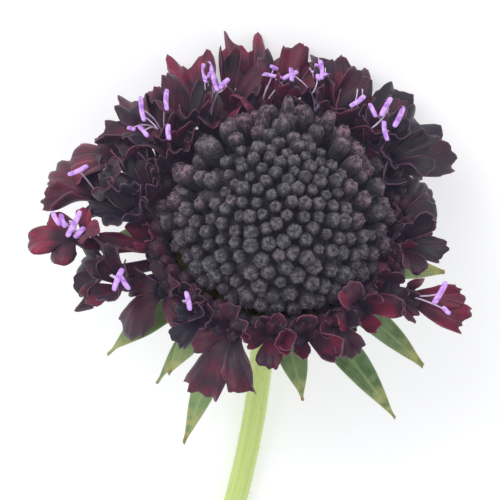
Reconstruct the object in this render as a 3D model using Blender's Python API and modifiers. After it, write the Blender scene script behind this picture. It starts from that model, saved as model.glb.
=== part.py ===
"""A cut scabiosa flower lying on a table, modelled at its real size in metres.

The head rests on the florets of its far rim and the stem curves down from it to lie along
the table. A dome of closed buds stands in a ring of open florets, each a short tube that
flares into five waved lobes with stamens. Green bracts spread below the ring.

World frame: +Z up, the table at Z = 0, the stem towards -Y. Sizes that belong to the head
are given in the head's own frame: its +Z is the flower's axis and Z = 0 is the plane of the
ring of florets.
"""

import math

import bmesh
import bpy
import numpy as np
from mathutils import Matrix, Vector

MM = 0.001

# Pose of the head: the direction it is looked at from leans past straight above, and the
# flower's axis leans away from that direction.
VIEW_PITCH = math.radians(15.0)
HEAD_TILT = math.radians(32.0)
HEAD_LEAN = math.radians(8.0)
HEAD_CENTRE = Vector((2.8, 38.3, 19.1)) * MM

# Dome of closed buds, which sits a little off the ring's middle
DOME_SHIFT = 1.0 * MM
DOME_RADIUS = 12.0 * MM
DOME_HEIGHT = 11.4 * MM
DOME_FOOT = -0.5 * MM
CORE_INSET = 0.9 * MM
CORE_SPIN = 0.13
BUD_COUNT = 94
BUD_WIDTH_TOP = 2.2 * MM
BUD_WIDTH_RIM = 3.1 * MM
BUD_SIDES = 5
GOLDEN_TURN = math.pi * (3.0 - math.sqrt(5.0))

# Fringe of half-open buds round the dome, longest on the far side
FRINGE_COUNT = 22
FRINGE_WIDTH = 2.9 * MM
FRINGE_REACH = 13.4 * MM
FRINGE_EXTRA = 0.6 * MM
FRINGE_LIFT = 26.0

# Pad of packed calyx cups that carries the open florets
PAD_TOP = -0.85 * MM
PAD_BOTTOM = -4.4 * MM
PAD_TOP_RADIUS = 12.4 * MM
PAD_BOTTOM_RADIUS = 5.6 * MM

# Open florets
LARGE_REACH = 6.7
LARGE_LOBE = ((0.38, 0.92, 1.0, 0.92), (0.0, 0.15, 0.0, -0.15))
SMALL_LOBE = ((0.40, 0.97, 0.97), (0.0, 0.22, -0.22))
FACE_LEVELS = (0.0, 0.5, 1.0)
PETAL_THICKNESS = 0.6 * MM
TUBE_ROOT_RADIUS = 0.75 * MM
THROAT_RADIUS = 1.15 * MM
THROAT_DEPTH = 1.4 * MM
TUBE_SIDES = 5
TUBE_SAG = 0.5 * MM
SHINGLE_ROLL = math.radians(15.0)
PETAL_CLEARANCE = 0.95 * MM
WAVE_SEED = 6000

# Stamens
FILAMENT_WIDTH = 0.5 * MM
ANTHER_WIDTH = 0.9 * MM
ANTHER_LENGTH = 3.0 * MM

# Stem and the cone that widens under the head
STEM_RADIUS = 1.5 * MM
STEM_LENGTH = 104.0 * MM
STEM_BEND_LENGTH = 42.0 * MM
STEM_YAW = math.radians(19.0)
STEM_TOP = -5.4 * MM
REST_DEPTH = 0.12 * MM
CUP_TOP = -4.75 * MM
CUP_HEIGHT = 3.6 * MM
CUP_RADIUS = 5.2 * MM

# Bracts
BRACT_THICKNESS = 0.65 * MM
BRACT_ROOT_RADII = (5.8 * MM, 4.3 * MM)
BRACT_ROOT_HEIGHTS = (-5.5 * MM, -6.9 * MM)

# A petal that would dip below the table bends along it from this height down.
FLOOR_BEND = 0.5 * MM

# Habits of a floret: how far the tip of each of its five lobes rises from the plane of the
# face, in degrees. The first lobe points outwards and the others follow counter-clockwise.
HABITS = {
    "open": (16.0, 5.0, 44.0, 44.0, 5.0),
    "cup": (48.0, 50.0, 62.0, 62.0, 50.0),
    "loose": (-14.0, -8.0, 35.0, 35.0, -8.0),
    "folded": (35.0, 66.0, 78.0, 78.0, 66.0),
}

# Each floret: where its throat is seen from the viewing side, in mm right and up of the
# head's centre; the throat's height over the ring's plane in mm; the face's lean outwards and
# its turn from straight outwards, in degrees; its reach in mm; its habit; the lengths of its
# lobes against the reach; how far each lobe swings from its even place, in degrees.
FLORETS = (
    (-23.4, -0.8, 2.0, 30, 8, 6.2, "open", (1.0, 0.70, 0.80, 0.47, 0.66), (-5, -31, -10, 0, 20)),
    (-19.6, -4.6, -1.2, 66, 0, 7.8, "open", (0.60, 0.83, 0.66, 0.66, 1.0), (20, 10, 0, 0, 30)),
    (-18.2, -6.4, 1.4, 34, 14, 6.4, "cup", (0.70, 1.0, 0.65, 0.65, 0.58), (4, 8, 0, 0, -5)),
    (-12.8, -7.4, 0.2, 46, 10, 8.0, "loose", (1.0, 0.60, 0.50, 0.38, 0.63), (-12, 3, -10, 0, 8)),
    (-8.8, -9.0, 0.8, 40, 0, 4.4, "cup", (0.70, 0.80, 0.65, 0.65, 0.50), (20, 20, 0, 0, 15)),
    (-3.7, -11.6, 0.4, 56, -14, 9.4, "loose", (1.0, 0.80, 0.45, 0.35, 0.62), (-4, -22, -10, -20, 26)),
    (3.8, -11.2, 0.6, 38, 10, 6.3, "cup", (0.40, 1.0, 0.87, 0.50, 0.80), (-20, -14, 12, -14, -30)),
    (10.4, -8.8, 1.2, 36, 0, 6.7, "cup", (0.45, 1.0, 0.67, 0.90, 0.67), (-5, 0, -16, -21, -29)),
    (17.4, -8.2, 1.6, 40, 4, 8.7, "cup", (0.87, 0.72, 0.30, 0.30, 0.66), (6, -32, -20, 0, -30)),
    (15.4, -3.6, 1.0, 34, 0, 3.0, "cup", (0.75, 0.80, 0.85, 0.70, 1.0), (20, 20, 10, 0, -13)),
    (15.4, 1.6, 0.4, 36, 10, 5.8, "open", (0.79, 1.0, 0.45, 0.40, 0.74), (14, -30, 20, 0, 14)),
    (14.8, 7.4, 1.4, 32, -6, 9.0, "open", (1.0, 0.98, 0.60, 0.60, 0.58), (6, -30, 0, 0, 30)),
    (13.6, 10.4, 0.6, 34, 0, 8.9, "open", (0.94, 1.0, 0.64, 0.64, 0.85), (-8, -30, 0, 0, 30)),
    (9.8, 12.4, 1.6, 30, 20, 10.1, "open", (1.0, 0.97, 0.54, 0.54, 0.80), (21, -22, 0, 0, 30)),
    (5.4, 13.4, 0.8, 32, 0, 9.7, "open", (0.90, 1.0, 0.59, 0.59, 0.77), (12, -30, 0, 0, 30)),
    (-1.4, 14.0, 1.6, 30, -12, 11.0, "open", (1.0, 0.95, 0.54, 0.54, 0.68), (2, -30, 0, 0, 30)),
    (-7.4, 12.8, 0.8, 32, 6, 10.3, "open", (1.0, 0.73, 0.52, 0.52, 0.87), (-9, -30, 0, 0, 30)),
    (-12.8, 10.4, 1.6, 32, 0, 9.1, "open", (0.96, 0.89, 0.55, 0.55, 1.0), (-19, -30, 0, 0, 29)),
    (-17.6, 8.2, 0.8, 34, 0, 7.3, "open", (1.0, 0.97, 0.72, 0.72, 0.90), (14, -8, 0, 0, 30)),
    (-21.0, 4.2, 1.4, 34, 0, 8.3, "open", (1.0, 0.81, 0.57, 0.57, 0.99), (-30, -30, 0, 0, 12)),
    (-15.2, 4.4, 2.8, 28, 0, 5.8, "cup", (1.0, 0.95, 0.65, 0.65, 0.95), (0, 0, 0, 0, 0)),
    (-14.4, -1.8, 0.8, 44, 4, 5.6, "folded", (1.0, 0.62, 0.42, 0.42, 0.62), (0, 0, 0, 0, 0)),
)

# Each stamen: the floret that it grows in; where its anther's middle is seen, in mm right and
# up of the head's centre; its height over the ring's plane in mm; its turn in degrees.
STAMENS = (
    (0, -24.9, 1.2, 6.4, 110),
    (0, -23.6, 1.0, 6.8, 55),
    (2, -18.0, -6.0, 6.0, 65),
    (8, 21.4, -7.4, 5.2, 60),
    (12, 15.8, 13.0, 5.2, 100),
    (12, 17.0, 14.6, 5.2, 65),
    (13, 13.0, 13.8, 5.4, 60),
    (14, 6.6, 17.8, 4.6, 80),
    (15, 1.6, 19.0, 4.0, 175),
    (16, -7.4, 19.4, 4.0, 70),
    (16, -4.8, 18.0, 4.4, 55),
    (17, -12.5, 16.2, 4.6, 80),
    (17, -15.8, 15.0, 5.4, 95),
    (19, -23.4, 7.0, 4.6, 25),
)

# Bracts: turn round the axis in degrees, length, width and droop at the tip (mm and degrees)
BRACTS = (
    (-143, 18.0, 3.9, 14),
    (-126, 17.0, 2.6, 26),
    (-121, 14.5, 3.6, 12),
    (-107, 21.5, 3.4, 22),
    (-69, 14.0, 3.8, 20),
    (-43, 22.0, 4.2, 14),
    (-23, 19.0, 3.9, 14),
    (7, 19.5, 4.0, 8),
    (38, 15.0, 3.8, 18),
    (72, 12.0, 3.6, 18),
    (108, 12.0, 3.6, 18),
    (142, 15.5, 3.8, 18),
    (175, 16.5, 3.9, 16),
)

HEAD_FRAME = (
    Matrix.Translation(HEAD_CENTRE)
    @ Matrix.Rotation(-VIEW_PITCH, 4, "X")
    @ Matrix.Rotation(-HEAD_LEAN, 4, "Z")
    @ Matrix.Rotation(-HEAD_TILT, 4, "X")
)
HEAD_TURN = np.array(HEAD_FRAME.to_3x3())
WORLD_UP = HEAD_TURN.T @ np.array((0.0, 0.0, 1.0))
VIEW_RIGHT = HEAD_TURN.T @ np.array((1.0, 0.0, 0.0))
VIEW_UP = HEAD_TURN.T @ np.array((0.0, math.cos(VIEW_PITCH), -math.sin(VIEW_PITCH)))


def clear_scene():
    for obj in list(bpy.data.objects):
        bpy.data.objects.remove(obj, do_unlink=True)


def make_collection(name, helper=False):
    collection = bpy.data.collections.new(name)
    bpy.context.scene.collection.children.link(collection)
    collection.hide_render = helper
    return collection


def make_material(name, colour, roughness):
    material = bpy.data.materials.new(name)
    material.use_nodes = True
    shader = material.node_tree.nodes["Principled BSDF"]
    shader.inputs["Base Color"].default_value = (*colour, 1.0)
    shader.inputs["Roughness"].default_value = roughness
    shader.inputs["Metallic"].default_value = 0.0
    return material


def add_object(name, mesh, collection, material, parent=None):
    """A new object of the mesh, shaded smooth where the surface is round."""
    mesh.materials.clear()
    mesh.materials.append(material)
    mesh.shade_smooth()
    mesh.set_sharp_from_angle(angle=math.radians(50.0))
    obj = bpy.data.objects.new(name, mesh)
    collection.objects.link(obj)
    obj.parent = parent
    return obj


def mesh_of(build, name):
    """A mesh made by a function that fills a bmesh."""
    shape = bmesh.new()
    build(shape)
    mesh = bpy.data.meshes.new(name)
    shape.to_mesh(mesh)
    shape.free()
    return mesh


def unit(vectors):
    vectors = np.asarray(vectors, float)
    return vectors / np.maximum(np.linalg.norm(vectors, axis=-1, keepdims=True), 1e-12)


def turn_to(direction, place, spin=0.0):
    """The matrix that puts +Z along the direction at the place, after a spin about +Z."""
    along = Vector(direction).to_track_quat("Z", "Y").to_matrix().to_4x4()
    return Matrix.Translation(Vector(place)) @ along @ Matrix.Rotation(spin, 4, "Z")


def seen_at(right, up, height):
    """The point of the head at this height that is seen this far right and up of its centre."""
    across = VIEW_RIGHT[:2]
    along = VIEW_UP[:2]
    wanted = np.array((right - height * VIEW_RIGHT[2], up - height * VIEW_UP[2]))
    return np.array((*np.linalg.solve(np.array((across, along)), wanted), height))


def fringe_reach(azimuth):
    """How far the half-open buds reach from the axis, more on the far side."""
    return FRINGE_REACH + FRINGE_EXTRA * np.clip(np.sin(azimuth), 0.0, 1.0)


def bend_clear(points):
    """Petals lean off the dome and its fringe, and bend along the table where they meet it."""
    points = np.array(points, float) - (DOME_SHIFT, 0.0, 0.0)
    radius = np.hypot(points[..., 0], points[..., 1])
    azimuth = np.arctan2(points[..., 1], points[..., 0])
    keep_out = fringe_reach(azimuth) + PETAL_CLEARANCE
    rise = np.clip(points[..., 2] - DOME_FOOT, 0.0, None) / (DOME_HEIGHT + 4.0 * MM)
    limit = keep_out * np.sqrt(np.clip(1.0 - rise**2, 0.0, 1.0))
    inside = (radius < limit) & (points[..., 2] > DOME_FOOT + PAD_TOP)
    scale = np.where(inside, limit / np.maximum(radius, 1e-9), 1.0)
    points[..., :2] *= scale[..., None]
    return lift_off_table(points + (DOME_SHIFT, 0.0, 0.0))


def lift_off_table(points):
    """A point near the table or under it comes to lie just above it."""
    rest = 0.5 * PETAL_THICKNESS + 0.05 * MM
    height = HEAD_CENTRE.z + points @ WORLD_UP - rest
    bent = FLOOR_BEND * np.exp(np.minimum(height - FLOOR_BEND, 0.0) / FLOOR_BEND)
    change = np.where(height < FLOOR_BEND, bent - height, 0.0)
    return points + change[..., None] * WORLD_UP


def loft(shape, rings, first, last):
    """A closed skin of triangles over equal rings of points, with a point at each end."""
    count = len(rings[0])
    corners = [[shape.verts.new(point) for point in ring] for ring in rings]
    start = shape.verts.new(first)
    end = shape.verts.new(last)
    for column in range(count):
        following = (column + 1) % count
        shape.faces.new((start, corners[0][following], corners[0][column]))
        for lower, upper in zip(corners, corners[1:]):
            shape.faces.new((lower[column], lower[following], upper[following]))
            shape.faces.new((lower[column], upper[following], upper[column]))
        shape.faces.new((end, corners[-1][column], corners[-1][following]))
    if shape.calc_volume(signed=True) < 0.0:
        bmesh.ops.reverse_faces(shape, faces=shape.faces[:])


def throat_of(index):
    """Middle of a floret's throat, moved outwards where it would meet the fringe."""
    right, up, height = FLORETS[index][:3]
    throat = seen_at(right * MM, up * MM, height * MM) - (DOME_SHIFT, 0.0, 0.0)
    azimuth = math.atan2(throat[1], throat[0])
    least = fringe_reach(azimuth) + PETAL_CLEARANCE + THROAT_RADIUS
    scale = max(1.0, least / math.hypot(throat[0], throat[1]))
    return throat * (scale, scale, 1.0) + (DOME_SHIFT, 0.0, 0.0)


def lobe_shape(index):
    """Reach and tip angle of each column round the face, scalloped and a little uneven."""
    reach, habit, shares, swings = FLORETS[index][5:]
    draw = np.random.default_rng(index)
    lengths = reach * MM * np.array(shares)
    rises = np.radians(HABITS[habit] + draw.uniform(-9.0, 9.0, 5))
    profile, bulge = LARGE_LOBE if reach > LARGE_REACH else SMALL_LOBE
    columns = len(profile)
    place = np.arange(5 * columns) / columns
    even = 2.0 * math.pi * (place - 0.5) / 5.0
    swing = np.radians(np.interp(place - 0.5, np.arange(-1, 6), np.take(swings, range(-1, 6), mode="wrap")))
    reaches, tips = [], []
    for lobe in range(5):
        for column in range(columns):
            neighbour = lengths[lobe - 1] if column == 0 else lengths[lobe]
            rise = 0.5 * (rises[lobe] + rises[lobe - 1]) if column == 0 else rises[lobe]
            ragged = draw.uniform(0.93, 1.05) if column else 1.0
            reaches.append(profile[column] * min(lengths[lobe], neighbour) * ragged)
            tips.append(rise)
    return np.array(reaches), np.array(tips), even + swing - np.tile(bulge, 5)


def floret_frame(azimuth, lean, turn):
    """Axes of a floret's face: outwards, sideways and the way that it faces.

    Each face rolls a little about its outward axis, so that neighbours overlap like shingles.
    """
    outward = azimuth + turn
    radial = np.array((math.cos(outward), math.sin(outward), 0.0))
    facing = np.array((0.0, 0.0, math.cos(lean))) + math.sin(lean) * radial
    side = unit(np.cross(facing, radial))
    out = np.cross(side, facing)
    side, facing = (
        math.cos(SHINGLE_ROLL) * side + math.sin(SHINGLE_ROLL) * facing,
        math.cos(SHINGLE_ROLL) * facing - math.sin(SHINGLE_ROLL) * side,
    )
    return out, side, facing


def face_surface(throat, frame, shape, waves):
    """Middle surface of a floret's face: each column leaves the throat steeply and curls over.

    Along a column the angle over the face's plane falls from the funnel's to the tip's, and
    the column's length is divided over the face's levels.
    """
    outward, side, facing = frame
    reaches, tips, turns = shape
    funnel = math.radians(62.0)
    ray = np.cos(turns)[:, None] * outward + np.sin(turns)[:, None] * side
    place = throat + THROAT_RADIUS * ray
    rows = [place]
    for start, end in zip(FACE_LEVELS, FACE_LEVELS[1:]):
        middle = 0.5 * (start + end)
        angle = funnel + (tips - funnel) * min(1.0, 1.7 * middle)
        step = (end - start) * reaches
        forward = (step * np.cos(angle))[:, None] * ray
        upward = (step * np.sin(angle))[:, None] * facing
        place = place + forward + upward
        rows.append(place)
    rows = np.array(rows)
    for row, level in enumerate(FACE_LEVELS):
        rows[row] += (waves * level * level)[:, None] * facing
    return rows


def floret_meshes(index):
    """One floret: its lobes as a waved blade round the throat, and its tube down to the pad."""
    lean, turn = FLORETS[index][3:5]
    throat = throat_of(index)
    azimuth = math.atan2(throat[1], throat[0])
    frame = floret_frame(azimuth, math.radians(lean), math.radians(turn))
    shape = lobe_shape(index)
    draw = np.random.default_rng(WAVE_SEED + index)
    waves = draw.uniform(-0.5, 0.5, len(shape[0])) * MM
    middle = bend_clear(face_surface(throat, frame, shape, waves))
    along = np.gradient(middle, axis=0)
    round_face = np.roll(middle, -1, axis=1) - np.roll(middle, 1, axis=1)
    normals = unit(np.cross(along, round_face))
    normals *= np.sign(np.sum(normals[0] @ frame[2])) or 1.0
    top = middle + 0.5 * PETAL_THICKNESS * normals
    under = middle - 0.5 * PETAL_THICKNESS * normals
    facing = frame[2]
    radial = np.array((math.cos(azimuth), math.sin(azimuth), 0.0))
    root = radial * (PAD_TOP_RADIUS - 2.2 * MM) + np.array((0.0, 0.0, PAD_TOP - 1.5 * MM))
    rings = list(under) + list(top[:0:-1])
    face = mesh_of(
        lambda shape_data: loft(shape_data, rings, throat - THROAT_DEPTH * facing, throat - 0.3 * MM * facing),
        f"floret_{index:02d}",
    )
    neck = throat - 0.5 * MM * facing
    bend = 0.5 * (root + neck) - np.array((0.0, 0.0, TUBE_SAG))
    tube = mesh_of(lambda shape_data: tube_shape(shape_data, (root, bend, neck)), "tube")
    return face, tube


def tube_shape(shape, stations):
    """A floret's tube, which widens from its root to the throat."""
    stations = np.array(stations)
    radii = np.linspace(TUBE_ROOT_RADIUS, THROAT_RADIUS, len(stations))
    along = unit(np.gradient(stations, axis=0))
    turns = 2.0 * math.pi * np.arange(TUBE_SIDES) / TUBE_SIDES
    rings = []
    for place, axis, radius in zip(stations, along, radii):
        across = unit(np.cross(axis, (0.0, 0.0, 1.0)))
        other = np.cross(axis, across)
        rings.append(place + radius * (np.cos(turns)[:, None] * across + np.sin(turns)[:, None] * other))
    loft(shape, rings, stations[0] - 0.2 * MM * along[0], stations[-1] + 0.2 * MM * along[-1])


def rod(shape, start, end, width, sides):
    """A slim closed rod between two points."""
    start, end = np.array(start), np.array(end)
    axis = unit(end - start)
    across = unit(np.cross(axis, (0.3, 0.5, 0.81)))
    other = np.cross(axis, across)
    turns = 2.0 * math.pi * np.arange(sides) / sides
    circle = np.cos(turns)[:, None] * across + np.sin(turns)[:, None] * other
    tip = 0.2 * width * axis
    loft(shape, [start + 0.5 * width * circle, end + 0.5 * width * circle], start - tip, end + tip)


def stamen_meshes(row):
    """Filament and anther of one stamen, which lean out of their floret's throat."""
    floret, right, up, height, turn = row
    throat = throat_of(floret)
    middle = seen_at(right * MM, up * MM, height * MM)
    turn = math.radians(turn)
    along = math.cos(turn) * VIEW_RIGHT + math.sin(turn) * VIEW_UP
    half = 0.5 * ANTHER_LENGTH * along
    body = mesh_of(
        lambda shape: rod(shape, middle - half, middle + half, ANTHER_WIDTH, 4),
        "anther",
    )
    thread = mesh_of(
        lambda shape: rod(shape, throat - 0.6 * MM * unit(middle - throat), middle, FILAMENT_WIDTH, 3),
        "filament",
    )
    return thread, body


def island_of(face, seen):
    """The faces joined to this one over shared edges."""
    seen.add(face)
    island, waiting = [], [face]
    while waiting:
        current = waiting.pop()
        island.append(current)
        for edge in current.edges:
            for other in edge.link_faces:
                if other not in seen:
                    seen.add(other)
                    waiting.append(other)
    return island


def keep_outer_skin(mesh):
    """Fills the hollows that joining sealed: only the largest skin of the mesh stays."""
    shape = bmesh.new()
    shape.from_mesh(mesh)
    seen = set()
    islands = [island_of(face, seen) for face in shape.faces if face not in seen]
    outer = max(islands, key=len)
    spare = [face for island in islands if island is not outer for face in island]
    bmesh.ops.delete(shape, geom=spare, context="FACES")
    shape.to_mesh(mesh)
    shape.free()


def union(base, extras, name):
    """Joins the extra meshes to the base object and removes them."""
    bpy.context.view_layer.update()
    joined = base.modifiers.new(name, "BOOLEAN")
    joined.operation = "UNION"
    joined.operand_type = "COLLECTION"
    joined.collection = extras
    joined.solver = "MANIFOLD"
    bpy.context.view_layer.objects.active = base
    with bpy.context.temp_override(object=base, active_object=base):
        bpy.ops.object.modifier_apply(modifier=joined.name)
    for obj in list(extras.objects):
        bpy.data.objects.remove(obj, do_unlink=True)
    keep_outer_skin(base.data)
    base.data.shade_smooth()
    base.data.set_sharp_from_angle(angle=math.radians(50.0))


def bud(shape, place, direction, width, length, spin):
    """A closed bud: an egg with few sides, sunk by half into what it grows from."""
    size = Matrix.Diagonal((0.51 * width, 0.51 * width, 0.54 * length, 1.0))
    bmesh.ops.create_uvsphere(
        shape, u_segments=BUD_SIDES, v_segments=3, radius=1.0, matrix=turn_to(direction, place, spin) @ size
    )


def dome_point(fall, azimuth, swell=0.0):
    """A point of the dome and its outward normal; fall is 0 at the apex and a right angle at the rim."""
    point = np.array(
        (
            (DOME_RADIUS + swell) * math.sin(fall) * math.cos(azimuth),
            (DOME_RADIUS + swell) * math.sin(fall) * math.sin(azimuth),
            (DOME_HEIGHT + swell) * math.cos(fall),
        )
    )
    normal = unit(point / np.array((DOME_RADIUS, DOME_RADIUS, DOME_HEIGHT)) ** 2)
    return point + (DOME_SHIFT, 0.0, 0.0), normal


def bud_falls():
    """Falls of the buds along the spiral, so that each has room for its own width."""
    fall = np.linspace(0.0, math.radians(80.0), 400)
    width = BUD_WIDTH_TOP + (BUD_WIDTH_RIM - BUD_WIDTH_TOP) * fall / fall[-1]
    crowd = np.cumsum(np.sin(fall) / width**2)
    crowd = crowd / crowd[-1]
    return np.interp((np.arange(BUD_COUNT) + 0.5) / BUD_COUNT, crowd, fall)


def build_dome(parts, helpers, parent, material):
    """The dome: a core that closed buds in a spiral stand out of, and a fringe of longer ones."""
    def core(shape):
        bmesh.ops.create_uvsphere(
            shape,
            u_segments=10,
            v_segments=6,
            radius=1.0,
            matrix=Matrix.Translation((DOME_SHIFT, 0.0, 0.0))
            @ Matrix.Rotation(CORE_SPIN, 4, "Z")
            @ Matrix.Diagonal((DOME_RADIUS - CORE_INSET, DOME_RADIUS - CORE_INSET, DOME_HEIGHT - CORE_INSET, 1.0)),
        )
        bmesh.ops.bisect_plane(
            shape,
            geom=shape.verts[:] + shape.edges[:] + shape.faces[:],
            plane_co=(0.0, 0.0, DOME_FOOT),
            plane_no=(0.0, 0.0, 1.0),
            clear_inner=True,
        )
        bmesh.ops.holes_fill(shape, edges=shape.edges[:])
        bmesh.ops.triangulate(shape, faces=shape.faces[:])

    dome = add_object("bud_dome", mesh_of(core, "bud_dome"), parts, material, parent)
    draw = np.random.default_rng(7)
    top = math.radians(80.0)
    for number, fall in enumerate(bud_falls()):
        azimuth = number * GOLDEN_TURN
        width = BUD_WIDTH_TOP + (BUD_WIDTH_RIM - BUD_WIDTH_TOP) * fall / top
        width *= draw.uniform(0.96, 1.08)
        point, normal = dome_point(fall, azimuth, -0.55 * MM)
        spin = draw.uniform(0.0, math.pi)
        mesh = mesh_of(lambda shape: bud(shape, point, normal, width, 1.25 * width, spin), "bud")
        add_object("bud", mesh, helpers, material, parent)
    for number in range(FRINGE_COUNT):
        azimuth = 2.0 * math.pi * (number + draw.uniform(-0.2, 0.2)) / FRINGE_COUNT
        reach = fringe_reach(azimuth) - draw.uniform(0.0, 0.7) * MM
        lift = math.radians(draw.uniform(22.0, 32.0) + FRINGE_LIFT * math.sin(azimuth))
        root, _ = dome_point(math.radians(84.0 if number % 2 else 76.0), azimuth, -2.2 * MM)
        direction = np.array(
            (math.cos(lift) * math.cos(azimuth), math.cos(lift) * math.sin(azimuth), math.sin(lift))
        )
        root[2] += 0.9 * MM
        length = (reach - math.hypot(root[0] - DOME_SHIFT, root[1])) / math.cos(lift)
        middle = root + 0.5 * length * direction
        width = FRINGE_WIDTH * draw.uniform(0.92, 1.08)
        mesh = mesh_of(lambda shape: bud(shape, middle, direction, width, length, 0.0), "fringe")
        add_object("fringe", mesh, helpers, material, parent)
    union(dome, helpers, "buds")


def build_florets(parts, helpers, parent, material):
    """The ring of open florets, rooted in the pad of calyx cups."""
    def pad(shape):
        bmesh.ops.create_cone(
            shape,
            cap_ends=True,
            cap_tris=True,
            segments=20,
            radius1=PAD_BOTTOM_RADIUS,
            radius2=PAD_TOP_RADIUS,
            depth=PAD_TOP - PAD_BOTTOM,
            matrix=Matrix.Translation((0.0, 0.0, 0.5 * (PAD_TOP + PAD_BOTTOM))),
        )

    ring = add_object("floret_ring", mesh_of(pad, "floret_ring"), parts, material, parent)
    for index in range(len(FLORETS)):
        for mesh in floret_meshes(index):
            add_object(f"floret_{index:02d}", mesh, helpers, material, parent)
    for row in STAMENS:
        for mesh in stamen_meshes(row):
            add_object("stamen", mesh, helpers, material, parent)
    union(ring, helpers, "florets")


def build_bract(number, row, parts, parent, material):
    """One bract: a lance-shaped blade, folded a little along its midrib, drooping to its tip."""
    turn, length, width, droop = row
    turn = math.radians(turn)
    whorl = (number - 1) % 2
    shape = bmesh.new()
    bmesh.ops.create_grid(shape, x_segments=6, y_segments=2, size=1.0)
    bmesh.ops.triangulate(shape, faces=shape.faces[:], quad_method="FIXED")
    draw = np.random.default_rng(200 + number)
    sway = draw.uniform(-0.06, 0.06)
    for vert in shape.verts:
        along = 0.5 * (vert.co.x + 1.0)
        across = vert.co.y
        half = 0.5 * width * MM * (0.22 + 0.78 * math.sin(math.pi * along**0.85))
        half = max(half * (1.0 - along**6), 0.25 * MM)
        slope = math.radians(droop) * (0.45 + 0.8 * along)
        run = BRACT_ROOT_RADII[whorl] + length * MM * along * math.cos(slope)
        sink = BRACT_ROOT_HEIGHTS[whorl] - length * MM * along * math.sin(slope)
        fold = 0.22 * abs(across) * half + 0.5 * MM * math.sin(7.0 * along + number) * along * across
        side = half * across + sway * length * MM * along * along
        vert.co = (
            run * math.cos(turn) - side * math.sin(turn),
            run * math.sin(turn) + side * math.cos(turn),
            sink + fold,
        )
    for vert in shape.verts:
        vert.co = lift_off_table(np.array(vert.co))
    mesh = bpy.data.meshes.new(f"bract_{number:02d}")
    shape.to_mesh(mesh)
    shape.free()
    bract = add_object(f"bract_{number:02d}", mesh, parts, material, parent)
    wall = bract.modifiers.new("thickness", "SOLIDIFY")
    wall.thickness = BRACT_THICKNESS
    wall.offset = 0.0


def stem_points():
    """The stem's middle line: it leaves the head along the axis, and its slope and heading ease."""
    axis = Vector(HEAD_TURN @ np.array((0.0, 0.0, 1.0)))
    top = HEAD_FRAME @ Vector((0.0, 0.0, STEM_TOP))
    slope = math.asin(axis.z)
    drop = top.z - (STEM_RADIUS - REST_DEPTH)
    count = 26
    at = np.linspace(0.0, STEM_LENGTH, 20 * count)
    bend = drop * slope / (1.0 - math.cos(slope))
    pitch = slope * np.clip(1.0 - at / bend, 0.0, 1.0)
    ease = np.clip((at - 4.0 * MM) / (1.3 * STEM_BEND_LENGTH), 0.0, 1.0)
    yaw = STEM_YAW * ease * ease * (3.0 - 2.0 * ease)
    step = at[1] - at[0]
    heading = np.stack((-np.sin(yaw) * np.cos(pitch), -np.cos(yaw) * np.cos(pitch), -np.sin(pitch)), axis=1)
    path = np.array(top) + np.cumsum(heading, axis=0) * step
    path[:, 2] = np.maximum(path[:, 2], STEM_RADIUS - REST_DEPTH)
    return path[:: 20]


def build_stem(parts, helpers, cutters, material):
    """The stem with the cone under the head, and a narrow flat where it lies on the table."""
    curve = bpy.data.curves.new("stem_line", "CURVE")
    curve.dimensions = "3D"
    curve.bevel_depth = STEM_RADIUS
    curve.bevel_resolution = 3
    curve.use_fill_caps = True
    path = stem_points()
    spline = curve.splines.new("POLY")
    spline.points.add(len(path) - 1)
    for point, place in zip(spline.points, path):
        point.co = (*place, 1.0)
    guide = bpy.data.objects.new("stem_line", curve)
    helpers.objects.link(guide)
    bpy.context.view_layer.update()
    graph = bpy.context.evaluated_depsgraph_get()
    mesh = bpy.data.meshes.new_from_object(guide.evaluated_get(graph))
    bpy.data.objects.remove(guide, do_unlink=True)
    shape = bmesh.new()
    shape.from_mesh(mesh)
    bmesh.ops.remove_doubles(shape, verts=shape.verts[:], dist=1e-6)
    bmesh.ops.triangulate(shape, faces=shape.faces[:])
    bmesh.ops.recalc_face_normals(shape, faces=shape.faces[:])
    shape.to_mesh(mesh)
    shape.free()
    stem = add_object("stem", mesh, parts, material)

    def cup(cone):
        bmesh.ops.create_cone(
            cone,
            cap_ends=True,
            cap_tris=True,
            segments=16,
            radius1=STEM_RADIUS * 1.02,
            radius2=CUP_RADIUS,
            depth=CUP_HEIGHT,
            matrix=HEAD_FRAME @ Matrix.Translation((0.0, 0.0, CUP_TOP - 0.5 * CUP_HEIGHT)),
        )

    add_object("cup", mesh_of(cup, "cup"), helpers, material)
    union(stem, helpers, "cup")

    def table(block):
        bmesh.ops.create_cube(
            block,
            size=1.0,
            matrix=Matrix.Translation((0.0, 0.0, -5.0 * MM))
            @ Matrix.Diagonal((200.0 * MM, 300.0 * MM, 10.0 * MM, 1.0)),
        )

    cutter = add_object("table_cutter", mesh_of(table, "table_cutter"), cutters, material)
    cutter.hide_render = True
    cutter.display_type = "WIRE"
    flat = stem.modifiers.new("resting flat", "BOOLEAN")
    flat.operation = "DIFFERENCE"
    flat.object = cutter
    flat.solver = "EXACT"


def main():
    clear_scene()
    parts = make_collection("scabiosa_flower")
    helpers = make_collection("joined_pieces")
    cutters = make_collection("cutters", helper=True)
    bud_skin = make_material("bud_skin", (0.045, 0.038, 0.05), 0.75)
    petal = make_material("petal", (0.07, 0.012, 0.022), 0.55)
    leaf = make_material("leaf", (0.14, 0.25, 0.09), 0.6)
    stalk = make_material("stalk", (0.50, 0.62, 0.22), 0.5)
    head = bpy.data.objects.new("head_frame", None)
    head.matrix_world = HEAD_FRAME
    parts.objects.link(head)
    build_dome(parts, helpers, head, bud_skin)
    build_florets(parts, helpers, head, petal)
    for number, row in enumerate(BRACTS, start=1):
        build_bract(number, row, parts, head, leaf)
    build_stem(parts, helpers, cutters, stalk)


main()
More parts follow.
